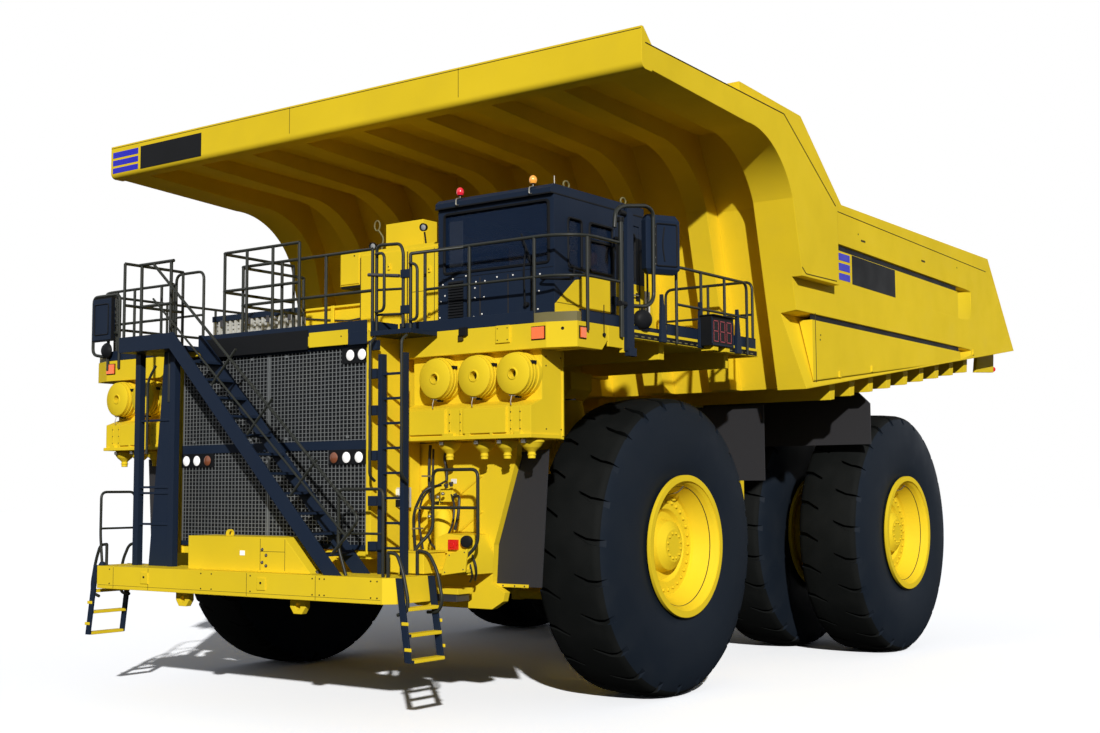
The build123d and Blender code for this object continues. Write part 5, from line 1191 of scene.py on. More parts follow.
class TRUCK_OT_cab(bpy.types.Operator):
    """Add the cab's mouldings, painted panels, bolts, louvres, wiper and handles"""
    bl_idname = "truck.cab"
    bl_label = "Cab"

    def execute(self, context):
        shape = Shape(black())
        low, high = WINDOW_SILL, WINDOW_HEAD
        gasket(shape, "y", CAB_FACE, ((2.28, 5.51), (3.92, 5.51), (3.92, 6.27), (2.28, 6.27)), 0.02)
        gasket(shape, "y", CAB_REAR, ((2.38, low), (3.80, low), (3.80, high), (2.38, high)))
        gasket(shape, "x", CAB_SIDE, ((-2.71, low), (-2.42, low), (-2.42, high), (-2.71, high)))
        gasket(shape, "x", CAB_SIDE, ((-2.25, low), (-1.73, low), (-1.73, high), (-2.25, high)), 0.02)
        gasket(shape, "x", CAB_INNER, ((-2.75, low), (-1.23, low), (-1.23, high), (-2.75, high)))
        shape.box(CAB_SIDE - 0.02, CAB_SIDE + 0.008, behind(-2.24), behind(-1.74), 5.86, 5.885)
        # yellow lower side with its slanting front edge
        side_patch(shape, ((-2.995, 4.76), (-2.995, 5.0), (-2.57, 5.333), (-2.45, 5.355), (-2.4, 5.44),
                           (-1.79, 5.43), (-1.79, 4.76)))
        side_patch(shape, ((-1.085, 4.76), (-1.085, 5.43), (-0.985, 5.43), (-0.985, 4.76)))
        shape.prism([(2.9, 4.76), (2.99, 5.0), (2.99, 4.76)], "y", CAB_FACE - 0.002, CAB_FACE,
                    navy())
        for y in (-2.34, -1.80):
            shape.box(CAB_SIDE + 0.002, CAB_SIDE + 0.0042, behind(y) - 0.004, behind(y) + 0.004, 4.78,
                      5.42, seam())
        shape.box(CAB_SIDE + 0.002, CAB_SIDE + 0.0042, behind(-2.98), behind(-2.42), 5.02, 5.026, seam())
        # roof edge, drip rail and roof panels
        roof = CAB_ROOF
        shape.box(CAB_INNER - 0.006, CAB_SIDE + 0.006, behind(-3.062), CAB_REAR + 0.006, 6.335, 6.352)
        for x in (2.75, 3.42):
            shape.box(x - 0.015, x + 0.015, behind(-2.9), behind(-1.08), roof, roof + 0.008, navy())
        shape.box(2.5, 3.4, behind(-2.2), behind(-1.3), roof, roof + 0.03, navy())
        for i in range(8):
            shape.box(2.6 + i * 0.09, 2.65 + i * 0.09, behind(-2.1), behind(-1.4), roof + 0.03,
                      roof + 0.036)
        for y in (-2.7, -1.43):
            loop = [(CAB_SIDE - 0.03, behind(y) + u, roof + 0.035 + v)
                    for u, v in circle(14, 0.06, 0.045)]
            shape.tube(loop, 0.012, 0, olive(), closed=True)
        # front panel: louvres on the fresh-air intake, bolts, wiper and grab bar
        f = CAB_FACE
        shape.box(2.33, 2.63, f - 0.008, f, 4.88, 5.42, navy())
        for i in range(14):
            z = 4.91 + i * 0.036
            shape.prism([(f - 0.008, z), (f - 0.03, z), (f - 0.012, z + 0.028), (f - 0.008, z + 0.028)],
                        "x", 2.36, 2.6)
        shape.box(2.24, 3.98, f - 0.004, f, 5.448, 5.454)
        bolts = ((2.42, 5.44), (2.634, 5.459), (2.795, 5.368), (2.256, 5.378), (2.29, 5.235),
                 (2.778, 5.294), (2.778, 5.169), (2.922, 5.169), (2.762, 4.931), (2.89, 4.959),
                 (2.223, 5.164), (2.207, 4.961), (2.938, 5.368), (3.128, 5.4), (3.376, 5.402),
                 (3.787, 5.376), (3.771, 5.171), (3.754, 4.953))
        for x, z in bolts:
            shape.turned([(0, 0.011), (0.005, 0.011), (0.009, 0.006)], (x, f, z), FORWARD, 10, white())
        for x in (2.86, 3.30, 3.66):
            shape.box(x - 0.003, x + 0.003, f - 0.003, f, 4.86, 5.42, seam())
        y = behind(-3.055)
        shape.tube([(3.6, f, 5.0), (3.6, y, 5.02), (3.585, y, 5.46), (3.6, y + 0.02, 5.7)], 0.01, 0.03)
        shape.tube([(3.524, y + 0.03, 5.89), (3.674, y + 0.03, 5.53)], 0.013)
        shape.turned([(0, 0.03), (0.05, 0.03), (0.055, 0.02)], (3.6, f, 5.02), FORWARD, 16)
        shape.tube([(3.86, f, 5.31), (3.86, behind(-3.1), 5.306), (4.33, behind(-3.1), 5.253)], 0.015,
                   0.05)
        # corner grab handle, kick strip and the pale seal at the cab's back edge
        x = CAB_SIDE + 0.06
        shape.tube([(x, behind(-2.76), 5.475), (x, behind(-2.4), 5.455)], 0.016)
        shape.tube([(x, behind(-2.675), 5.47), (x, behind(-2.675), 5.38),
                    (CAB_SIDE, behind(-2.675), 5.35)], 0.014, 0.03)
        shape.box(3.96, 4.0, CAB_REAR + 0.005, CAB_REAR + 0.13, 4.95, 5.37, white())
        shape.box(2.5, 3.7, CAB_REAR + 0.001, CAB_REAR + 0.012, 4.86, 5.38, navy())
        for z in (4.95, 5.3):
            for x in (2.56, 3.64):
                shape.turned([(0, 0.012), (0.006, 0.012)], (x, CAB_REAR + 0.012, z), BACKWARD, 10,
                             white())
        # handrail on the wall beside the door
        shape.tube([(CAB_SIDE, behind(-1.02), 5.9), (CAB_SIDE + 0.07, behind(-1.02), 5.88),
                    (CAB_SIDE + 0.07, behind(-1.02), 5.02), (CAB_SIDE, behind(-1.02), 5.0)], 0.014, 0.03,
                   tube_black())
        # antenna
        shape.tube([(3.72, behind(-2.6), roof), (3.72, behind(-2.6), roof + 0.2)], 0.007, 0,
                   bolt_steel())
        shape.turned([(0, 0.025), (0.03, 0.018)], (3.72, behind(-2.6), roof), UP, 12)
        shape.make("cab_fittings", "chassis")
        door = Shape(black())
        side_patch(door, ((-1.66, 4.83), (-1.66, 5.43), (-1.118, 5.43), (-1.118, 4.83)))
        gasket(door, "x", CAB_SIDE, ((-1.49, low), (-1.21, low), (-1.21, high), (-1.49, high)))
        door.box(CAB_SIDE - 0.02, CAB_SIDE + 0.008, behind(-1.48), behind(-1.22), 5.84, 5.865)
        door.box(CAB_SIDE + 0.003, CAB_SIDE + 0.02, behind(-1.2), behind(-1.13), 5.22, 5.32)
        door.tube([(CAB_SIDE + 0.02, behind(-1.19), 5.28), (CAB_SIDE + 0.045, behind(-1.2), 5.28),
                   (CAB_SIDE + 0.045, behind(-1.3), 5.28)], 0.01, 0.01, bolt_steel())
        door.make("cab_door_fittings", "cab_door")
        return {"FINISHED"}


def cushion(name, centre, half, tilt, channels, paint):
    """A crowned closed pad: full corners, sides pulled in between them, sewn channels on its face."""
    mesh = bpy.data.meshes.new(name)
    work = bmesh.new()
    bmesh.ops.create_cube(work, size=2)
    bmesh.ops.subdivide_edges(work, edges=work.edges[:], cuts=15, use_grid_fill=True)
    turn = Matrix.Rotation(tilt, 4, "X")
    for v in work.verts:
        x, y, z = v.co
        size = (abs(x) ** 5 + abs(y) ** 5 + abs(z) ** 5) ** 0.2
        x, y, z = x / size, y / size, z / size
        crown = (1 - x * x) * (1 - y * y)
        dx, dy = x * (1 - 0.045 * (1 - y * y)), y * (1 - 0.045 * (1 - x * x))
        dz = z * (0.86 + 0.14 * crown) if z > 0 else z * 0.9
        for c in channels:
            if z > 0.3:
                dz -= 0.16 * math.exp(-((y - c) / 0.05) ** 2)
                dz -= 0.10 * math.exp(-((abs(x) - 0.68) / 0.05) ** 2)
        v.co = turn @ Vector((dx * half[0], dy * half[1], dz * half[2])) + Vector(centre)
    work.to_mesh(mesh)
    work.free()
    mesh.materials.append(paint)
    mesh.shade_smooth()
    piece = bpy.data.objects.new(name, mesh)
    bpy.context.scene.collection.objects.link(piece)
    smooth = piece.modifiers.new("smooth", "SUBSURF")
    smooth.levels = smooth.render_levels = 1
    placed(piece, "chassis", ("cab_interior",))


class TRUCK_OT_cab_interior(bpy.types.Operator):
    """Furnish the cab: two padded seats, dashboard, steering wheel, pedals and blind"""
    bl_idname = "truck.cab_interior"
    bl_label = "Cab interior"

    def execute(self, context):
        shape = Shape(trim())
        y = behind(-1.85)
        for i, x in enumerate((2.70, 3.40)):
            cushion(f"seat_pad_{i}", (x, y - 0.02, CAB_FLOOR + 0.42), (0.25, 0.26, 0.075), 0.06, (0.1,),
                    seat_cloth())
            cushion(f"seat_back_{i}", (x, y + 0.255, CAB_FLOOR + 0.76), (0.25, 0.34, 0.07),
                    math.radians(84), (-0.35, 0.25), seat_cloth())
            cushion(f"seat_head_{i}", (x, y + 0.315, CAB_FLOOR + 1.16), (0.14, 0.075, 0.05),
                    math.radians(84), (), seat_cloth())
            shape.turned([(0, 0.2), (0.02, 0.2), (0.05, 0.12), (0.3, 0.1), (0.335, 0.17)],
                         (x, y, CAB_FLOOR), UP, 24)
            shape.box(x - 0.23, x + 0.23, y - 0.22, y + 0.22, CAB_FLOOR + 0.315, CAB_FLOOR + 0.345)
            shape.box(x - 0.21, x + 0.21, y + 0.3, y + 0.33, CAB_FLOOR + 0.36, CAB_FLOOR + 0.95)
            for s in (-1, 1):
                shape.tube([(x + s * 0.28, y + 0.2, CAB_FLOOR + 0.5),
                            (x + s * 0.28, y + 0.18, CAB_FLOOR + 0.63),
                            (x + s * 0.28, y - 0.15, CAB_FLOOR + 0.65)], 0.035, 0.05)
        f = CAB_FACE + 0.065
        shape.prism([(f, CAB_FLOOR), (f, 5.5), (f + 0.06, 5.56), (f + 0.3, 5.575), (f + 0.42, 5.5),
                     (f + 0.44, 5.28), (f + 0.3, 5.12), (f + 0.28, CAB_FLOOR)], "x", 2.3, 3.9)
        shape.prism([(f + 0.005, 5.505), (f + 0.065, 5.565), (f + 0.3, 5.582), (f + 0.3, 5.57),
                     (f + 0.065, 5.55), (f + 0.02, 5.5)], "x", 2.32, 3.88, dash_grey())
        shape.prism([(f + 0.3, 5.575), (f + 0.42, 5.66), (f + 0.44, 5.645), (f + 0.42, 5.5)], "x", 3.12,
                    3.68)
        for i in range(5):
            shape.turned([(0, 0.045), (0.008, 0.045)], (3.18 + i * 0.11, f + 0.432, 5.57),
                         (0, 0.86, 0.5), 20, white())
        shape.box(2.45, 2.80, f + 0.42, f + 0.445, 5.32, 5.50, black())
        hub, out = Vector((3.40, f + 0.62, 5.52)), Vector((0, 0.62, 0.78))
        shape.tube([(3.4, f + 0.36, 5.28), tuple(hub)], 0.035)
        side = Vector(ACROSS)
        up = out.cross(side)
        shape.tube([hub + 0.215 * (u * side + v * up) for u, v in circle(32)], 0.017, 0, black(),
                   closed=True)
        for a in (0.2, math.pi - 0.2, -math.pi / 2):
            shape.tube([hub, hub + 0.21 * (math.cos(a) * side + math.sin(a) * up)], 0.014)
        shape.turned([(-0.02, 0.05), (0.02, 0.05), (0.03, 0.03)], hub, out, 20)
        for x in (3.26, 3.50):
            shape.prism([(f + 0.3, CAB_FLOOR + 0.08), (f + 0.33, CAB_FLOOR + 0.24),
                         (f + 0.345, CAB_FLOOR + 0.24), (f + 0.34, CAB_FLOOR + 0.06)], "x", x, x + 0.1,
                        black())
        # rolled blind on the right, console between the seats
        shape.box(2.30, 2.52, f + 0.01, f + 0.02, 5.56, 6.19, dash_grey())
        shape.prism([(y - 0.35, CAB_FLOOR + 0.002), (y - 0.35, CAB_FLOOR + 0.55),
                     (y + 0.1, CAB_FLOOR + 0.5), (y + 0.1, CAB_FLOOR + 0.002)], "x", 2.99, 3.11)
        for i in range(4):
            shape.turned([(0, 0.012), (0.06, 0.009), (0.062, 0.02), (0.09, 0.018)],
                         (3.05, y - 0.3 + i * 0.1, CAB_FLOOR + 0.53), UP, 12, black())
        shape.make("cab_furniture", "chassis", 0.004, replaces=("cab_interior",))
        return {"FINISHED"}


# ---- Mirrors and display -----------------------------------------------------------------
class TRUCK_OT_mirrors(bpy.types.Operator):
    """Hang the flat and round mirrors on their tube loops"""
    bl_idname = "truck.mirrors"
    bl_label = "Mirrors"

    def execute(self, context):
        shape = Shape(black())
        x = DECK_SIDE + 0.026
        loop = ((-2.436, 5.95), (-2.412, 6.16), (-2.255, 6.24), (-1.703, 6.33), (-1.545, 6.28),
                (-1.555, 5.15), (-1.73, 5.05), (-2.26, 5.01))
        shape.tube([(x, behind(y), z) for y, z in loop], 0.026, 0.12, tube_black(), sides=12)
        shape.tube([(x, behind(-2.3), 4.62), (x, behind(-2.3), 6.08)], 0.03, 0, tube_black(), sides=12)
        shape.turned([(0, 0.044), (0.05, 0.044)], (x, behind(-2.3), 6.04), UP, 16)
        for y in (-2.24, -2.30):
            for z in (5.03, 6.15):
                shape.turned([(-0.03, 0.036), (0.03, 0.036)], (x, behind(y), z), BACKWARD, 12)
        mast = ((-2.22, 4.46), (-2.06, 4.46), (-2.06, 6.20), (-2.19, 6.22))
        shape.prism([(behind(y), z) for y, z in mast], "x", x - 0.024, x + 0.03, navy())
        shape.box(x - 0.02, x + 0.05, behind(-2.20), behind(-2.04), 4.40, 4.50, navy())
        # round mirror on its stalk
        y = behind(-1.83)
        shape.tube([(x, y, 5.06), (x, y, 4.97), (x + 0.02, y, 4.93)], 0.016)
        shape.turned([(-0.05, 0.05), (-0.035, 0.1), (0.0, 0.125), (0.02, 0.125)], (x + 0.01, y, 4.88),
                     (-0.8, 0.6, 0), 32)
        shape.turned([(0.0201, 0.118), (0.03, 0.1), (0.036, 0.05), (0.037, 0.001)], (x + 0.01, y, 4.88),
                     (-0.8, 0.6, 0), 32, mirror_glass())
        shape.make("mirror_left_frame", "chassis", replaces=("mirror_left",))
        head = Shape(black())
        inner, outer = Vector((4.37, behind(-1.58), 0)), Vector((4.60, behind(-1.14), 0))
        wide = (outer - inner).normalized()
        out = Vector((wide.y, -wide.x, 0))
        length = (outer - inner).length

        def at(u, d, z):
            return inner + wide * u * length + out * d + Vector((0, 0, z))

        rows = ((5.5, 0.1, 0.9, 0.02), (5.56, 0.0, 1.0, 0.06), (6.18, 0.0, 1.0, 0.06),
                (6.26, 0.1, 0.92, 0.02))
        for (z0, a0, b0, d0), (z1, a1, b1, d1) in zip(rows, rows[1:]):
            head.add([at(a0, -0.05, z0), at(a0, d0, z0), at(b0, d0, z0), at(b0, -0.05, z0),
                      at(a1, -0.05, z1), at(a1, d1, z1), at(b1, d1, z1), at(b1, -0.05, z1)],
                     [(0, 1, 5, 4), (1, 2, 6, 5), (2, 3, 7, 6), (3, 0, 4, 7), (3, 2, 1, 0),
                      (4, 5, 6, 7)], navy())
        frame_line = [at(0.3, 0.062, 5.6), at(0.92, 0.062, 5.6), at(0.92, 0.062, 6.14),
                      at(0.3, 0.062, 6.14)]
        head.tube(frame_line, 0.012, 0.03, sides=6, closed=True)
        head.tube([at(0.55, 0.062, 5.66), at(0.48, 0.062, 5.88), at(0.55, 0.062, 6.1)], 0.01, 0.1,
                  sides=6)
        head.plate([at(0.05, -0.052, 5.56), at(0.95, -0.052, 5.56), at(0.95, -0.052, 6.2),
                    at(0.05, -0.052, 6.2)], -out * 0.004, mirror_glass())
        for u in (0.2, 0.28):
            for z in (5.62, 5.7, 5.86, 6.0, 6.1):
                head.turned([(0, 0.008), (0.006, 0.008)], at(u, 0.06, z), out, 8, bolt_steel())
        head.make("mirror_left_head", "chassis", 0.012, replaces=("mirror_left",))
        # right side: head and round mirror ahead of the deck's edge
        right = Shape(black())
        y = behind(-3.37)
        right.box(-4.33, -3.90, y - 0.06, y + 0.02, 5.06, 5.68, navy())
        right.box(-4.34, -3.89, y - 0.05, y, 5.04, 5.7)
        right.box(-4.31, -3.92, y + 0.0201, y + 0.025, 5.08, 5.66, mirror_glass())
        right.tube([(-4.28, y - 0.064, 5.14), (-3.95, y - 0.064, 5.14), (-3.95, y - 0.064, 5.6),
                    (-4.28, y - 0.064, 5.6)], 0.01, 0.03, sides=6, closed=True)
        right.tube([(-4.06, y + 0.03, 4.6), (-4.06, y + 0.03, 5.05)], 0.024, 0, tube_black())
        right.tube([(-3.9, y + 0.02, 5.16), (-3.8, y + 0.03, 5.16), (-3.8, y + 0.03, 4.62)], 0.022, 0.06,
                   tube_black())
        right.tube([(-3.8, y + 0.03, 5.1), (-3.8, y + 0.03, 5.74), (-4.43, y + 0.03, 5.74),
                    (-4.43, y + 0.03, 4.86), (-4.06, y + 0.03, 4.8)], 0.024, 0.1, tube_black(), sides=12)
        right.turned([(-0.05, 0.05), (-0.03, 0.09), (0.0, 0.115), (0.02, 0.115)], (-4.04, y - 0.02, 4.9),
                     BACKWARD, 32)
        right.turned([(0.0201, 0.108), (0.03, 0.09), (0.036, 0.001)], (-4.04, y - 0.02, 4.9), BACKWARD,
                     32, mirror_glass())
        right.make("mirror_right_head", "chassis", 0.006, replaces=("mirror_right",))
        return {"FINISHED"}


class TRUCK_OT_display(bpy.types.Operator):
    """Build the load display with its hood, screen and lit digits"""
    bl_idname = "truck.display"
    bl_label = "Display"

    def execute(self, context):
        shape = Shape(navy())
        x0, x1 = DECK_SIDE + 0.05, DECK_SIDE + 0.21
        shape.box(x0, x1, behind(-0.43), behind(0.17), 4.66, 5.05, black())
        shape.box(x1 - 0.01, x1 + 0.006, behind(-0.42), behind(-0.4), 4.67, 5.04)
        shape.box(x1 - 0.01, x1 + 0.006, behind(0.14), behind(0.16), 4.67, 5.04)
        shape.box(x1 - 0.01, x1 + 0.006, behind(-0.42), behind(0.16), 4.665, 4.685)
        shape.box(x0, x1 + 0.05, behind(-0.45), behind(0.19), 5.052, 5.066, black())
        for y in (-0.28, 0.03):
            shape.box(DECK_SIDE + 0.003, x1 - 0.02, behind(y) - 0.065, behind(y) + 0.065, 4.6, 4.66,
                      yellow())
        w, h, t = 0.12, 0.27, 0.012
        for k in range(3):
            y0, z0 = behind(-0.365 + k * 0.175), 4.72
            bars = [(y0, y0 + w, z0 + s * h / 2 - t / 2, z0 + s * h / 2 + t / 2) for s in range(3)]
            bars += [(y0 + s * w - t / 2, y0 + s * w + t / 2, z0 + v * h / 2 + t,
                      z0 + (v + 1) * h / 2 - t) for s in range(2) for v in range(2)]
            for a, b, c, d in bars:
                shape.box(x1, x1 + 0.003, a, b, c, d, red_segment())
        shape.make("load_display", "chassis", 0.002, replaces=("payload_display",))
        return {"FINISHED"}


# ---- Bed ---------------------------------------------------------------------------------
def recess_panel(shape, side, sections, paint):
    """A flush panel in a recess of the bed's side.

    Each section is (y, top z, bottom z, depth at top)."""
    x = BED_HALF - 0.002
    points = []
    for y, top, bottom, depth in sections:
        points += [(side * x, behind(y), bottom), (side * x, behind(y), top),
                   (side * (x - depth), behind(y), top)]
    faces = [(0, 1, 2), (5, 4, 3), (0, 3, 4, 1), (1, 4, 5, 2), (2, 5, 3, 0)]
    shape.add(points, faces, paint)
    # painted shadow: a black strip set back in the slot above the panel stands for the shade under the
    # recess's top lip
    (y0, top0), (y1, top1) = (section[:2] for section in sections)
    shape.prism([(behind(y0), top0), (behind(y1), top1), (behind(y1), top1 + 0.085),
                 (behind(y0), top0 + 0.09)], "x", side * (x - 0.035), side * (x - 0.03), black())


class TRUCK_OT_bed_markings(bpy.types.Operator):
    """Lay the stripes, bare plates, seams and small lugs on the bed's sides and fascia"""
    bl_idname = "truck.bed_markings"
    bl_label = "Bed markings"

    def execute(self, context):
        shape = Shape(seam())
        for side in (1, -1):
            recess_panel(shape, side, ((2.8, 6.375, 5.872, 0.165), (8.2, 6.285, 5.794, 0.16)), yellow())
            recess_panel(shape, side, ((2.20, 5.225, 4.32, 0.21), (8.25, 5.20, 5.03, 0.18)), yellow())
            x0, x1 = side * (BED_HALF - 0.002), side * (BED_HALF + 0.001)
            for z0, z1 in ((5.925, 6.03), (6.07, 6.185), (6.225, 6.335)):
                shape.box(x0, x1, behind(3.16), behind(3.56), z0, z1, blue())
            shape.prism([(behind(3.64), 5.905), (behind(5.33), 5.875), (behind(5.33), 6.325),
                         (behind(3.64), 6.355)], "x", x0, x1, black())
            face = side * (BED_HALF + 0.0005)
            shape.tube([(face, behind(3.16), 6.965), (face, behind(9.72), 6.83)], 0.007, sides=6)
            shape.tube([(face, behind(2.86), 5.93), (face, behind(3.08), 5.86)], 0.006, sides=6)
            shape.tube([(face, behind(2.3), 5.33), (face, behind(2.3), 4.32)], 0.006, sides=6)
            cheek = side * (CANOPY_HALF + 0.0005)
            # dark lines along the cheek's top edge and along its lower front edge
            for line in (((-2.55, 8.11), (1.08, 8.01), (2.72, 6.96)),
                         ((2.7, 5.83), (1.68, 5.82), (1.56, 5.9))):
                shape.tube([(cheek, behind(y), z) for y, z in line], 0.008, 0.02, sides=6)
            # little welded lugs and drain holes
            for y, z in ((3.1, 4.46), (4.3, 4.62), (8.9, 5.22)):
                shape.box(face - side * 0.03, face + side * 0.02, behind(y) - 0.03, behind(y) + 0.03,
                          z - 0.03, z + 0.06, yellow())
            for y, z in ((2.45, 4.95), (2.47, 5.02), (8.2, 6.72), (3.9, 6.72)):
                shape.turned([(0, 0.014), (0.003, 0.014)], (face, behind(y), z), (side, 0, 0), 10)
            for y in (4.0, 6.5):
                shape.box(face, face + side * 0.004, behind(y), behind(y) + 0.16, 6.62, 6.65)
        shape.make("bed_side_markings", "bed")
        front = Shape(seam())
        y = behind(-2.63)
        for z0, z1 in ((7.86, 7.945), (7.98, 8.07), (8.105, 8.20)):
            front.box(-4.99, -4.36, y - 0.003, y, z0, z1, blue())
        front.box(-4.30, -2.86, y - 0.003, y, 7.85, 8.21, black())
        for x in (-0.95, 2.2):
            front.box(x - 0.004, x + 0.004, y - 0.0015, y, 7.9, 8.285)
        front.box(-CANOPY_HALF + 0.01, CANOPY_HALF - 0.01, y - 0.003, y, 8.268, 8.276)
        # weld seams across the roof, and lifting eyes
        for x in (-3.4, -1.7, 0, 1.7, 3.4):
            front.tube([(x, behind(-2.35), 8.121), (x, behind(1.0), 8.035)], 0.008, 0, yellow(), sides=6)
        for x in (-4.0, 4.0):
            for yy, z in ((-1.9, 8.112), (0.5, 8.05)):
                front.prism([(behind(yy) - 0.09, z - 0.01), (behind(yy) + 0.09, z - 0.01),
                             (behind(yy) + 0.05, z + 0.12), (behind(yy) - 0.05, z + 0.12)], "x",
                            x - 0.02, x + 0.02, yellow())
        front.make("canopy_markings", "bed")
        return {"FINISHED"}


# ---- Chassis ---------------------------------------------------------------------------
def bolt_ring(shape, centre, axis, radius, count, size, paint):
    """Bolts standing in a circle about the axis."""
    along = Vector(axis).normalized()
    side = along.orthogonal().normalized()
    up = along.cross(side)
    for u, v in circle(count):
        shape.bolt(Vector(centre) + radius * (u * side + v * up), along, size, paint)


class TRUCK_OT_axle_fittings(bpy.types.Operator):
    """Bolt the axle flanges, strut glands and steering joints"""
    bl_idname = "truck.axle_fittings"
    bl_label = "Axle fittings"

    def execute(self, context):
        shape = Shape(steel())
        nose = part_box("rear_axle_housing")[0].y
        y = REAR_AXLE
        for side in (1, -1):
            bolt_ring(shape, (side * 0.9, y, HUB_Z), (-side, 0, 0), 0.63, 24, 0.022, steel())
            shape.turned([(0, 0.565), (0.02, 0.565), (0.03, 0.56), (0.03, 0.5602), (0, 0.5601)],
                         (side * 0.5, y, HUB_Z), ACROSS, 64, yellow(), ring=True)
        for u, v in circle(10, 0.22, 0.12):
            shape.bolt((u, nose, HUB_Z + v), FORWARD, 0.018)
        # inspection cover and drain plug at the back of the housing
        shape.turned([(-0.03, 0.4), (0.018, 0.4), (0.03, 0.38)], (0, y + 0.545, HUB_Z), BACKWARD, 48,
                     yellow())
        bolt_ring(shape, (0, y + 0.563, HUB_Z), BACKWARD, 0.35, 14, 0.02, steel())
        shape.turned([(0, 0.05), (0.03, 0.05), (0.04, 0.03)], (0, y, HUB_Z - 0.555), DOWN, 6)
        shape.box(-0.11, 0.11, y + 0.575, y + 0.579, HUB_Z - 0.05, HUB_Z + 0.05, bolt_steel())
        # strut glands with dust boots, and pins through their lugs
        for side in (1, -1):
            low_s, high_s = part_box("rear_struts")
            x = side * 0.6
            mid = (low_s.y + high_s.y) / 2
            z = low_s.z
            shape.turned([(0, 0.101), (0, 0.125), (0.06, 0.125), (0.06, 0.101)], (x, mid, z + 0.12), UP,
                         28, ring=True)
            shape.turned([(0, 0.097), (0, 0.112), (0.16, 0.112), (0.16, 0.097)], (x, mid, z + 0.19), UP,
                         28, chrome(), ring=True)
            shape.turned([(-0.16, 0.055), (0.16, 0.055)], (x, mid - 0.02, z - 0.09), ACROSS, 20)
        low_f, high_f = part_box("front_struts")
        for side in (1, -1):
            reach = (high_f.y - low_f.y) / 2
            x = side * (high_f.x - reach)
            y0 = (low_f.y + high_f.y) / 2
            shape.turned([(0, reach + 0.002), (0, reach + 0.03), (0.05, reach + 0.03),
                          (0.05, reach + 0.002)], (x, y0, low_f.z + 0.02), UP, 40, yellow(), ring=True)
            bolt_ring(shape, (x, y0, low_f.z + 0.07), UP, reach + 0.014, 16, 0.008, steel())
            shape.turned([(0, 0.09), (0.03, 0.09), (0.05, 0.05), (0.09, 0.05), (0.095, 0.03)],
                         (x, y0, high_f.z), UP, 20)
        shape.make("axle_fittings", "chassis")
        return {"FINISHED"}


class TRUCK_OT_tank_fittings(bpy.types.Operator):
    """Fit the tanks with straps, fillers, gauges and bare plates"""
    bl_idname = "truck.tank_fittings"
    bl_label = "Tank fittings"

    def execute(self, context):
        shape = Shape(yellow())
        for node, side in (("fuel_tank", 1), ("hydraulic_tank", -1)):
            low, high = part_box(node)
            outer = high.x if side > 0 else low.x
            out = (side, 0, 0)
            for y in (low.y + 0.25, high.y - 0.25):
                shape.box(outer - side * 0.001, outer + side * 0.01, y - 0.04, y + 0.04, low.z + 0.15,
                          high.z - 0.15)
                for z in (low.z + 0.22, (low.z + high.z) / 2, high.z - 0.22):
                    shape.bolt((outer + side * 0.010, y, z), out, 0.018, steel())
            mid = (low.y + high.y) / 2
            # round hatch, filler neck, sight glass and a bare plate
            z = low.z + 0.95
            shape.turned([(0, 0.24), (0.014, 0.24), (0.02, 0.23)], (outer, mid - 0.1, z), out, 40)
            bolt_ring(shape, (outer + side * 0.02, mid - 0.1, z), out, 0.21, 12, 0.012, steel())
            shape.turned([(0, 0.09), (0.05, 0.09), (0.05, 0.105), (0.11, 0.105), (0.12, 0.09)],
                         (outer, low.y + 0.48, high.z - 0.3), out, 28, steel())
            shape.box(outer, outer + side * 0.025, high.y - 0.55, high.y - 0.49, low.z + 0.4,
                      low.z + 0.9, bolt_steel())
            shape.box(outer + side * 0.025, outer + side * 0.03, high.y - 0.535, high.y - 0.505,
                      low.z + 0.44, low.z + 0.86, glass())
            shape.box(outer, outer + side * 0.004, mid + 0.2, mid + 0.42, high.z - 0.42, high.z - 0.28,
                      white())
            # lifting eyes on the top
            for y in (low.y + 0.3, high.y - 0.3):
                loop = [(outer - side * 0.45, y + u, high.z + 0.03 + v) for u, v in circle(14, 0.05)]
                shape.tube(loop, 0.014, closed=True)
        shape.make("tank_fittings", "chassis", 0.003)
        hoses = Shape(hose_rubber())
        for side in (1, -1):
            low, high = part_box("fuel_tank" if side > 0 else "hydraulic_tank")
            inner = low.x if side > 0 else high.x
            for i in range(3):
                x = inner + side * (0.12 + 0.07 * i)
                y0 = low.y + 0.01
                hoses.tube([(x, y0, low.z + 0.35), (x, y0 - 0.18, low.z + 0.35),
                            (x - side * 0.1, y0 - 0.7, low.z + 0.42 + 0.04 * i),
                            (inner - side * 0.1, y0 - 1.2, low.z + 0.4 + 0.06 * i)], 0.022, 0.2, sides=8)
        hoses.make("tank_hoses", "chassis")
        return {"FINISHED"}


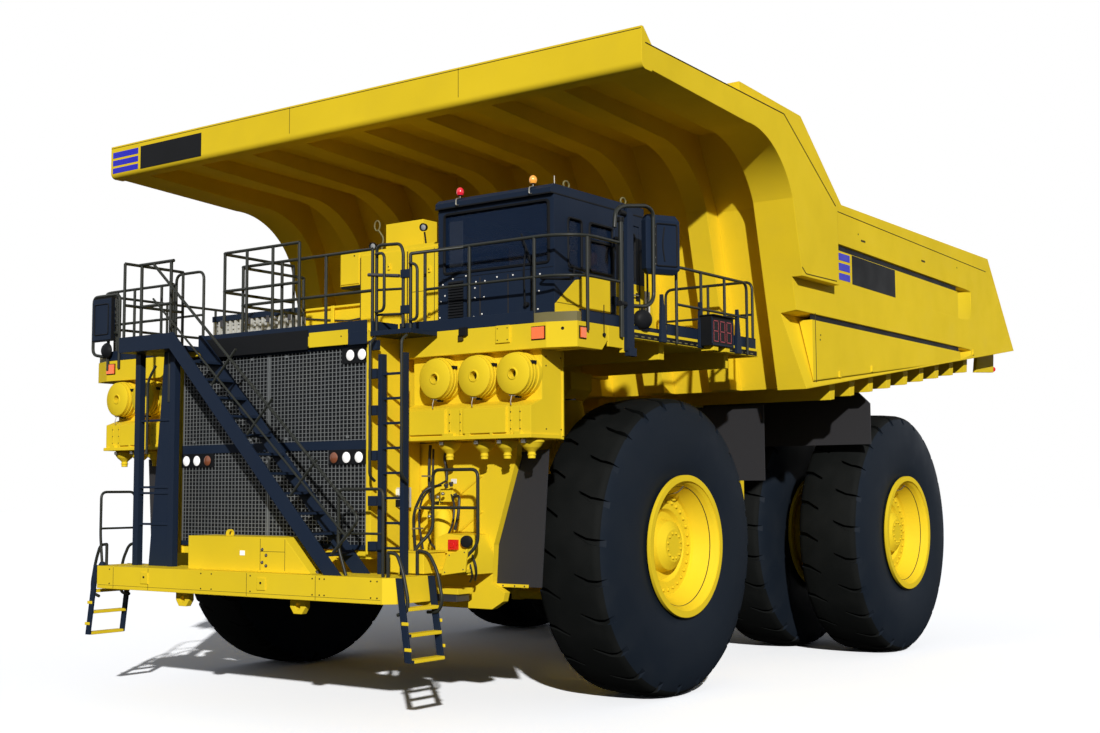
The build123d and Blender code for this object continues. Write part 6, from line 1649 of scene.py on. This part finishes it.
class TRUCK_OT_frame_details(bpy.types.Operator):
    """Add the frame's lines and clamps, and the engine's covers"""
    bl_idname = "truck.frame_details"
    bl_label = "Frame details"

    def execute(self, context):
        low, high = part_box("engine_block")
        shape = Shape(steel())
        # engine: valve covers, manifolds and belt-end pulleys, all in the block's own space
        for side in (1, -1):
            for i in range(9):
                y = low.y + 0.3 + i * 0.42
                x = side * (high.x - 0.001)
                shape.box(x, x + side * 0.05, y, y + 0.3, high.z - 0.5, high.z - 0.28)
                shape.turned([(0, 0.045), (0.1, 0.045)], (x, y + 0.15, high.z - 0.62), (side, 0, -0.4),
                             14)
            shape.tube([(side * (high.x + 0.09), low.y + 0.35, high.z - 0.72),
                        (side * (high.x + 0.09), high.y - 0.4, high.z - 0.72)], 0.06, sides=14)
            shape.box(side * high.x, side * (high.x + 0.03), low.y + 0.3, high.y - 0.3, low.z + 0.1,
                      low.z + 0.5)
        shape.make("engine_fittings", "chassis", 0.004)
        lines = Shape(hose_rubber())
        # brake and hydraulic lines clipped along both rails
        for side in (1, -1):
            for i in range(3):
                z = 2.32 - i * 0.07
                x = side * 0.82
                lines.tube([(x, behind(-2.3), z), (x, behind(1.0), z), (x, behind(4.0), z - 0.02)],
                           0.014, sides=8)
            for y in (-2.0, -1.0, 0.9, 1.7, 2.5, 3.3):
                lines.box(side * 0.8, side * 0.84, behind(y), behind(y) + 0.05, 2.14, 2.36, bolt_steel())
        lines.make("frame_lines", "chassis")
        return {"FINISHED"}


class TRUCK_OT_flap_clamps(bpy.types.Operator):
    """Clamp the mud flaps with bolted strips, and bolt the mud guards"""
    bl_idname = "truck.flap_clamps"
    bl_label = "Flap clamps"

    def execute(self, context):
        shape = Shape(steel())
        low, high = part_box("bed_mud_flaps")
        for side in (1, -1):
            x = side * high.x
            for k in range(5):
                y = low.y + (high.y - low.y) * (0.1 + 0.2 * k)
                shape.bolt((x, y, high.z - 0.09), (side, 0, 0), 0.02)
            shape.box(x, x + side * 0.004, low.y + 0.06, high.y - 0.06, high.z - 0.13, high.z - 0.05,
                      black())
        shape.make("bed_flap_clamps", "bed")
        guard = Shape(steel())
        low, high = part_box("mud_guards")
        for side in (1, -1):
            for z in (3.3, 3.7, 4.1):
                guard.bolt((side * (high.x - 0.25), low.y, z), FORWARD, 0.018)
        guard.make("guard_bolts", "chassis")
        return {"FINISHED"}


# ---- Stage -----------------------------------------------------------------------------
class TRUCK_OT_stage(bpy.types.Operator):
    """Set the camera, the pale floor, the key light and the white surroundings"""
    bl_idname = "truck.stage"
    bl_label = "Stage"

    def execute(self, context):
        scene = context.scene
        lens = bpy.data.cameras.new("camera")
        lens.lens = 46.5
        lens.sensor_width = 36
        camera = bpy.data.objects.new("camera", lens)
        scene.collection.objects.link(camera)
        yaw, pitch, roll = (math.radians(a) for a in (36.038, 4.877, -0.327))
        ahead = Vector((-math.sin(yaw) * math.cos(pitch), math.cos(yaw) * math.cos(pitch),
                        math.sin(pitch)))
        level = Vector((math.cos(yaw), math.sin(yaw), 0))
        right = level * math.cos(roll) + level.cross(ahead) * math.sin(roll)
        up = right.cross(ahead)
        turn = Matrix((right, up, -ahead)).transposed().to_4x4()
        camera.matrix_world = Matrix.Translation((13.869, behind(-16.663), 2.807)) @ turn
        scene.camera = camera
        sun = bpy.data.lights.new("key", "SUN")
        sun.energy = settings().sun_power
        sun.angle = math.radians(1.2)
        sun.color = (1.0, 0.97, 0.92)
        key = bpy.data.objects.new("key", sun)
        key.rotation_mode = "QUATERNION"
        key.rotation_quaternion = Vector((1.64, -1.88, 1.0)).to_track_quat("Z", "Y")
        scene.collection.objects.link(key)
        mesh = bpy.data.meshes.new("floor")
        mesh.from_pydata([(-150, -150, 0), (150, -150, 0), (150, 150, 0), (-150, 150, 0)], [],
                         [(0, 1, 2, 3)])
        mesh.materials.append(studio_floor())
        ground = bpy.data.objects.new("floor", mesh)
        scene.collection.objects.link(ground)
        world = bpy.data.worlds.new("studio")
        scene.world = world
        world.use_nodes = True
        nodes, link = world.node_tree.nodes, world.node_tree.links.new
        soft = nodes["Background"]
        soft.inputs["Color"].default_value = (0.93, 0.95, 1.0, 1)
        soft.inputs["Strength"].default_value = settings().fill_power
        seen = nodes.new("ShaderNodeBackground")
        seen.inputs["Color"].default_value = (1, 1, 1, 1)
        seen.inputs["Strength"].default_value = 1.0
        path = nodes.new("ShaderNodeLightPath")
        shown = nodes.new("ShaderNodeMath")
        shown.operation = "MAXIMUM"
        link(path.outputs["Is Camera Ray"], shown.inputs[0])
        reflected = nodes.new("ShaderNodeMath")
        reflected.operation = "MAXIMUM"
        link(path.outputs["Is Glossy Ray"], reflected.inputs[0])
        link(path.outputs["Is Transmission Ray"], reflected.inputs[1])
        link(reflected.outputs[0], shown.inputs[1])
        mix = nodes.new("ShaderNodeMixShader")
        link(shown.outputs[0], mix.inputs["Fac"])
        link(soft.outputs[0], mix.inputs[1])
        link(seen.outputs[0], mix.inputs[2])
        link(mix.outputs[0], nodes["World Output"].inputs["Surface"])
        scene.view_settings.view_transform = "Standard"
        return {"FINISHED"}


def studio_floor():
    """White paper under the truck: brighter to the camera, so that only the shadow shows."""
    paper = material("studio_floor", (0.09, 0.09, 0.09), 0.9, 0.0, grain=0.0, shine=0.0)
    nodes, link = paper.node_tree.nodes, paper.node_tree.links.new
    seen = nodes.new("ShaderNodeBsdfDiffuse")
    seen.inputs["Color"].default_value = (1.85, 1.92, 2.05, 1)
    path = nodes.new("ShaderNodeLightPath")
    mix = nodes.new("ShaderNodeMixShader")
    link(path.outputs["Is Camera Ray"], mix.inputs["Fac"])
    link(nodes["Principled BSDF"].outputs[0], mix.inputs[1])
    link(seen.outputs[0], mix.inputs[2])
    link(mix.outputs[0], nodes["Material Output"].inputs["Surface"])
    return paper


# ---- Finishes of the carried-over nodes -------------------------------------------------
FINISHES = {
    navy: ("cab_shell", "cab_door", "stairway", "ladders", "boarding_steps", "mirror_left",
           "mirror_right", "payload_display"),
    flap_rubber: ("mud_guards", "bed_mud_flaps"),
    glass: ("cab_glass", "cab_door_glass"),
    chrome: ("hoist_rods", "hoist_stages", "steering_rod_left", "steering_rod_right"),
    steel: ("engine_block", "rear_struts"),
    grey: ("retarder_grid",),
    trim: ("cab_interior",),
}


class TRUCK_OT_finishes(bpy.types.Operator):
    """Give every carried-over node its paint, rubber, glass or steel"""
    bl_idname = "truck.finishes"
    bl_label = "Finishes"

    def execute(self, context):
        chosen = {node: paint() for paint, nodes in FINISHES.items() for node in nodes}
        for name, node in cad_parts.items():
            node.data.materials.clear()
            node.data.materials.append(chosen.get(name, yellow()))
        return {"FINISHED"}


OPERATORS = [TRUCK_OT_stage, TRUCK_OT_finishes, TRUCK_OT_tyres, TRUCK_OT_wheel_fittings,
             TRUCK_OT_guard_rails, TRUCK_OT_grille, TRUCK_OT_front_lamps, TRUCK_OT_bumper_fittings,
             TRUCK_OT_stair_fittings, TRUCK_OT_ladder_fittings, TRUCK_OT_toe_boards, TRUCK_OT_cabinets,
             TRUCK_OT_gate_rails, TRUCK_OT_air_cleaners, TRUCK_OT_service_point, TRUCK_OT_cab,
             TRUCK_OT_cab_interior, TRUCK_OT_mirrors, TRUCK_OT_display, TRUCK_OT_bed_markings,
             TRUCK_OT_axle_fittings, TRUCK_OT_tank_fittings, TRUCK_OT_frame_details,
             TRUCK_OT_flap_clamps]


class TRUCK_PT_panel(bpy.types.Panel):
    """Buttons for each group of the truck's pieces"""
    bl_label = "Mining Dump Truck"
    bl_idname = "TRUCK_PT_panel"
    bl_space_type = "VIEW_3D"
    bl_region_type = "UI"
    bl_category = "Truck"

    def draw(self, context):
        values = settings()
        for name in values.__annotations__:
            self.layout.prop(values, name)
        for operator in OPERATORS:
            self.layout.operator(operator.bl_idname)


def register():
    for kind in (TruckSettings, *OPERATORS, TRUCK_PT_panel):
        bpy.utils.register_class(kind)
    bpy.types.Scene.truck_settings = bpy.props.PointerProperty(type=TruckSettings)


def unregister():
    del bpy.types.Scene.truck_settings
    for kind in (TRUCK_PT_panel, *reversed(OPERATORS), TruckSettings):
        bpy.utils.unregister_class(kind)


def main():
    register()
    for operator in OPERATORS:
        module, name = operator.bl_idname.split(".")
        getattr(getattr(bpy.ops, module), name)()


if __name__ == "__main__":
    main()
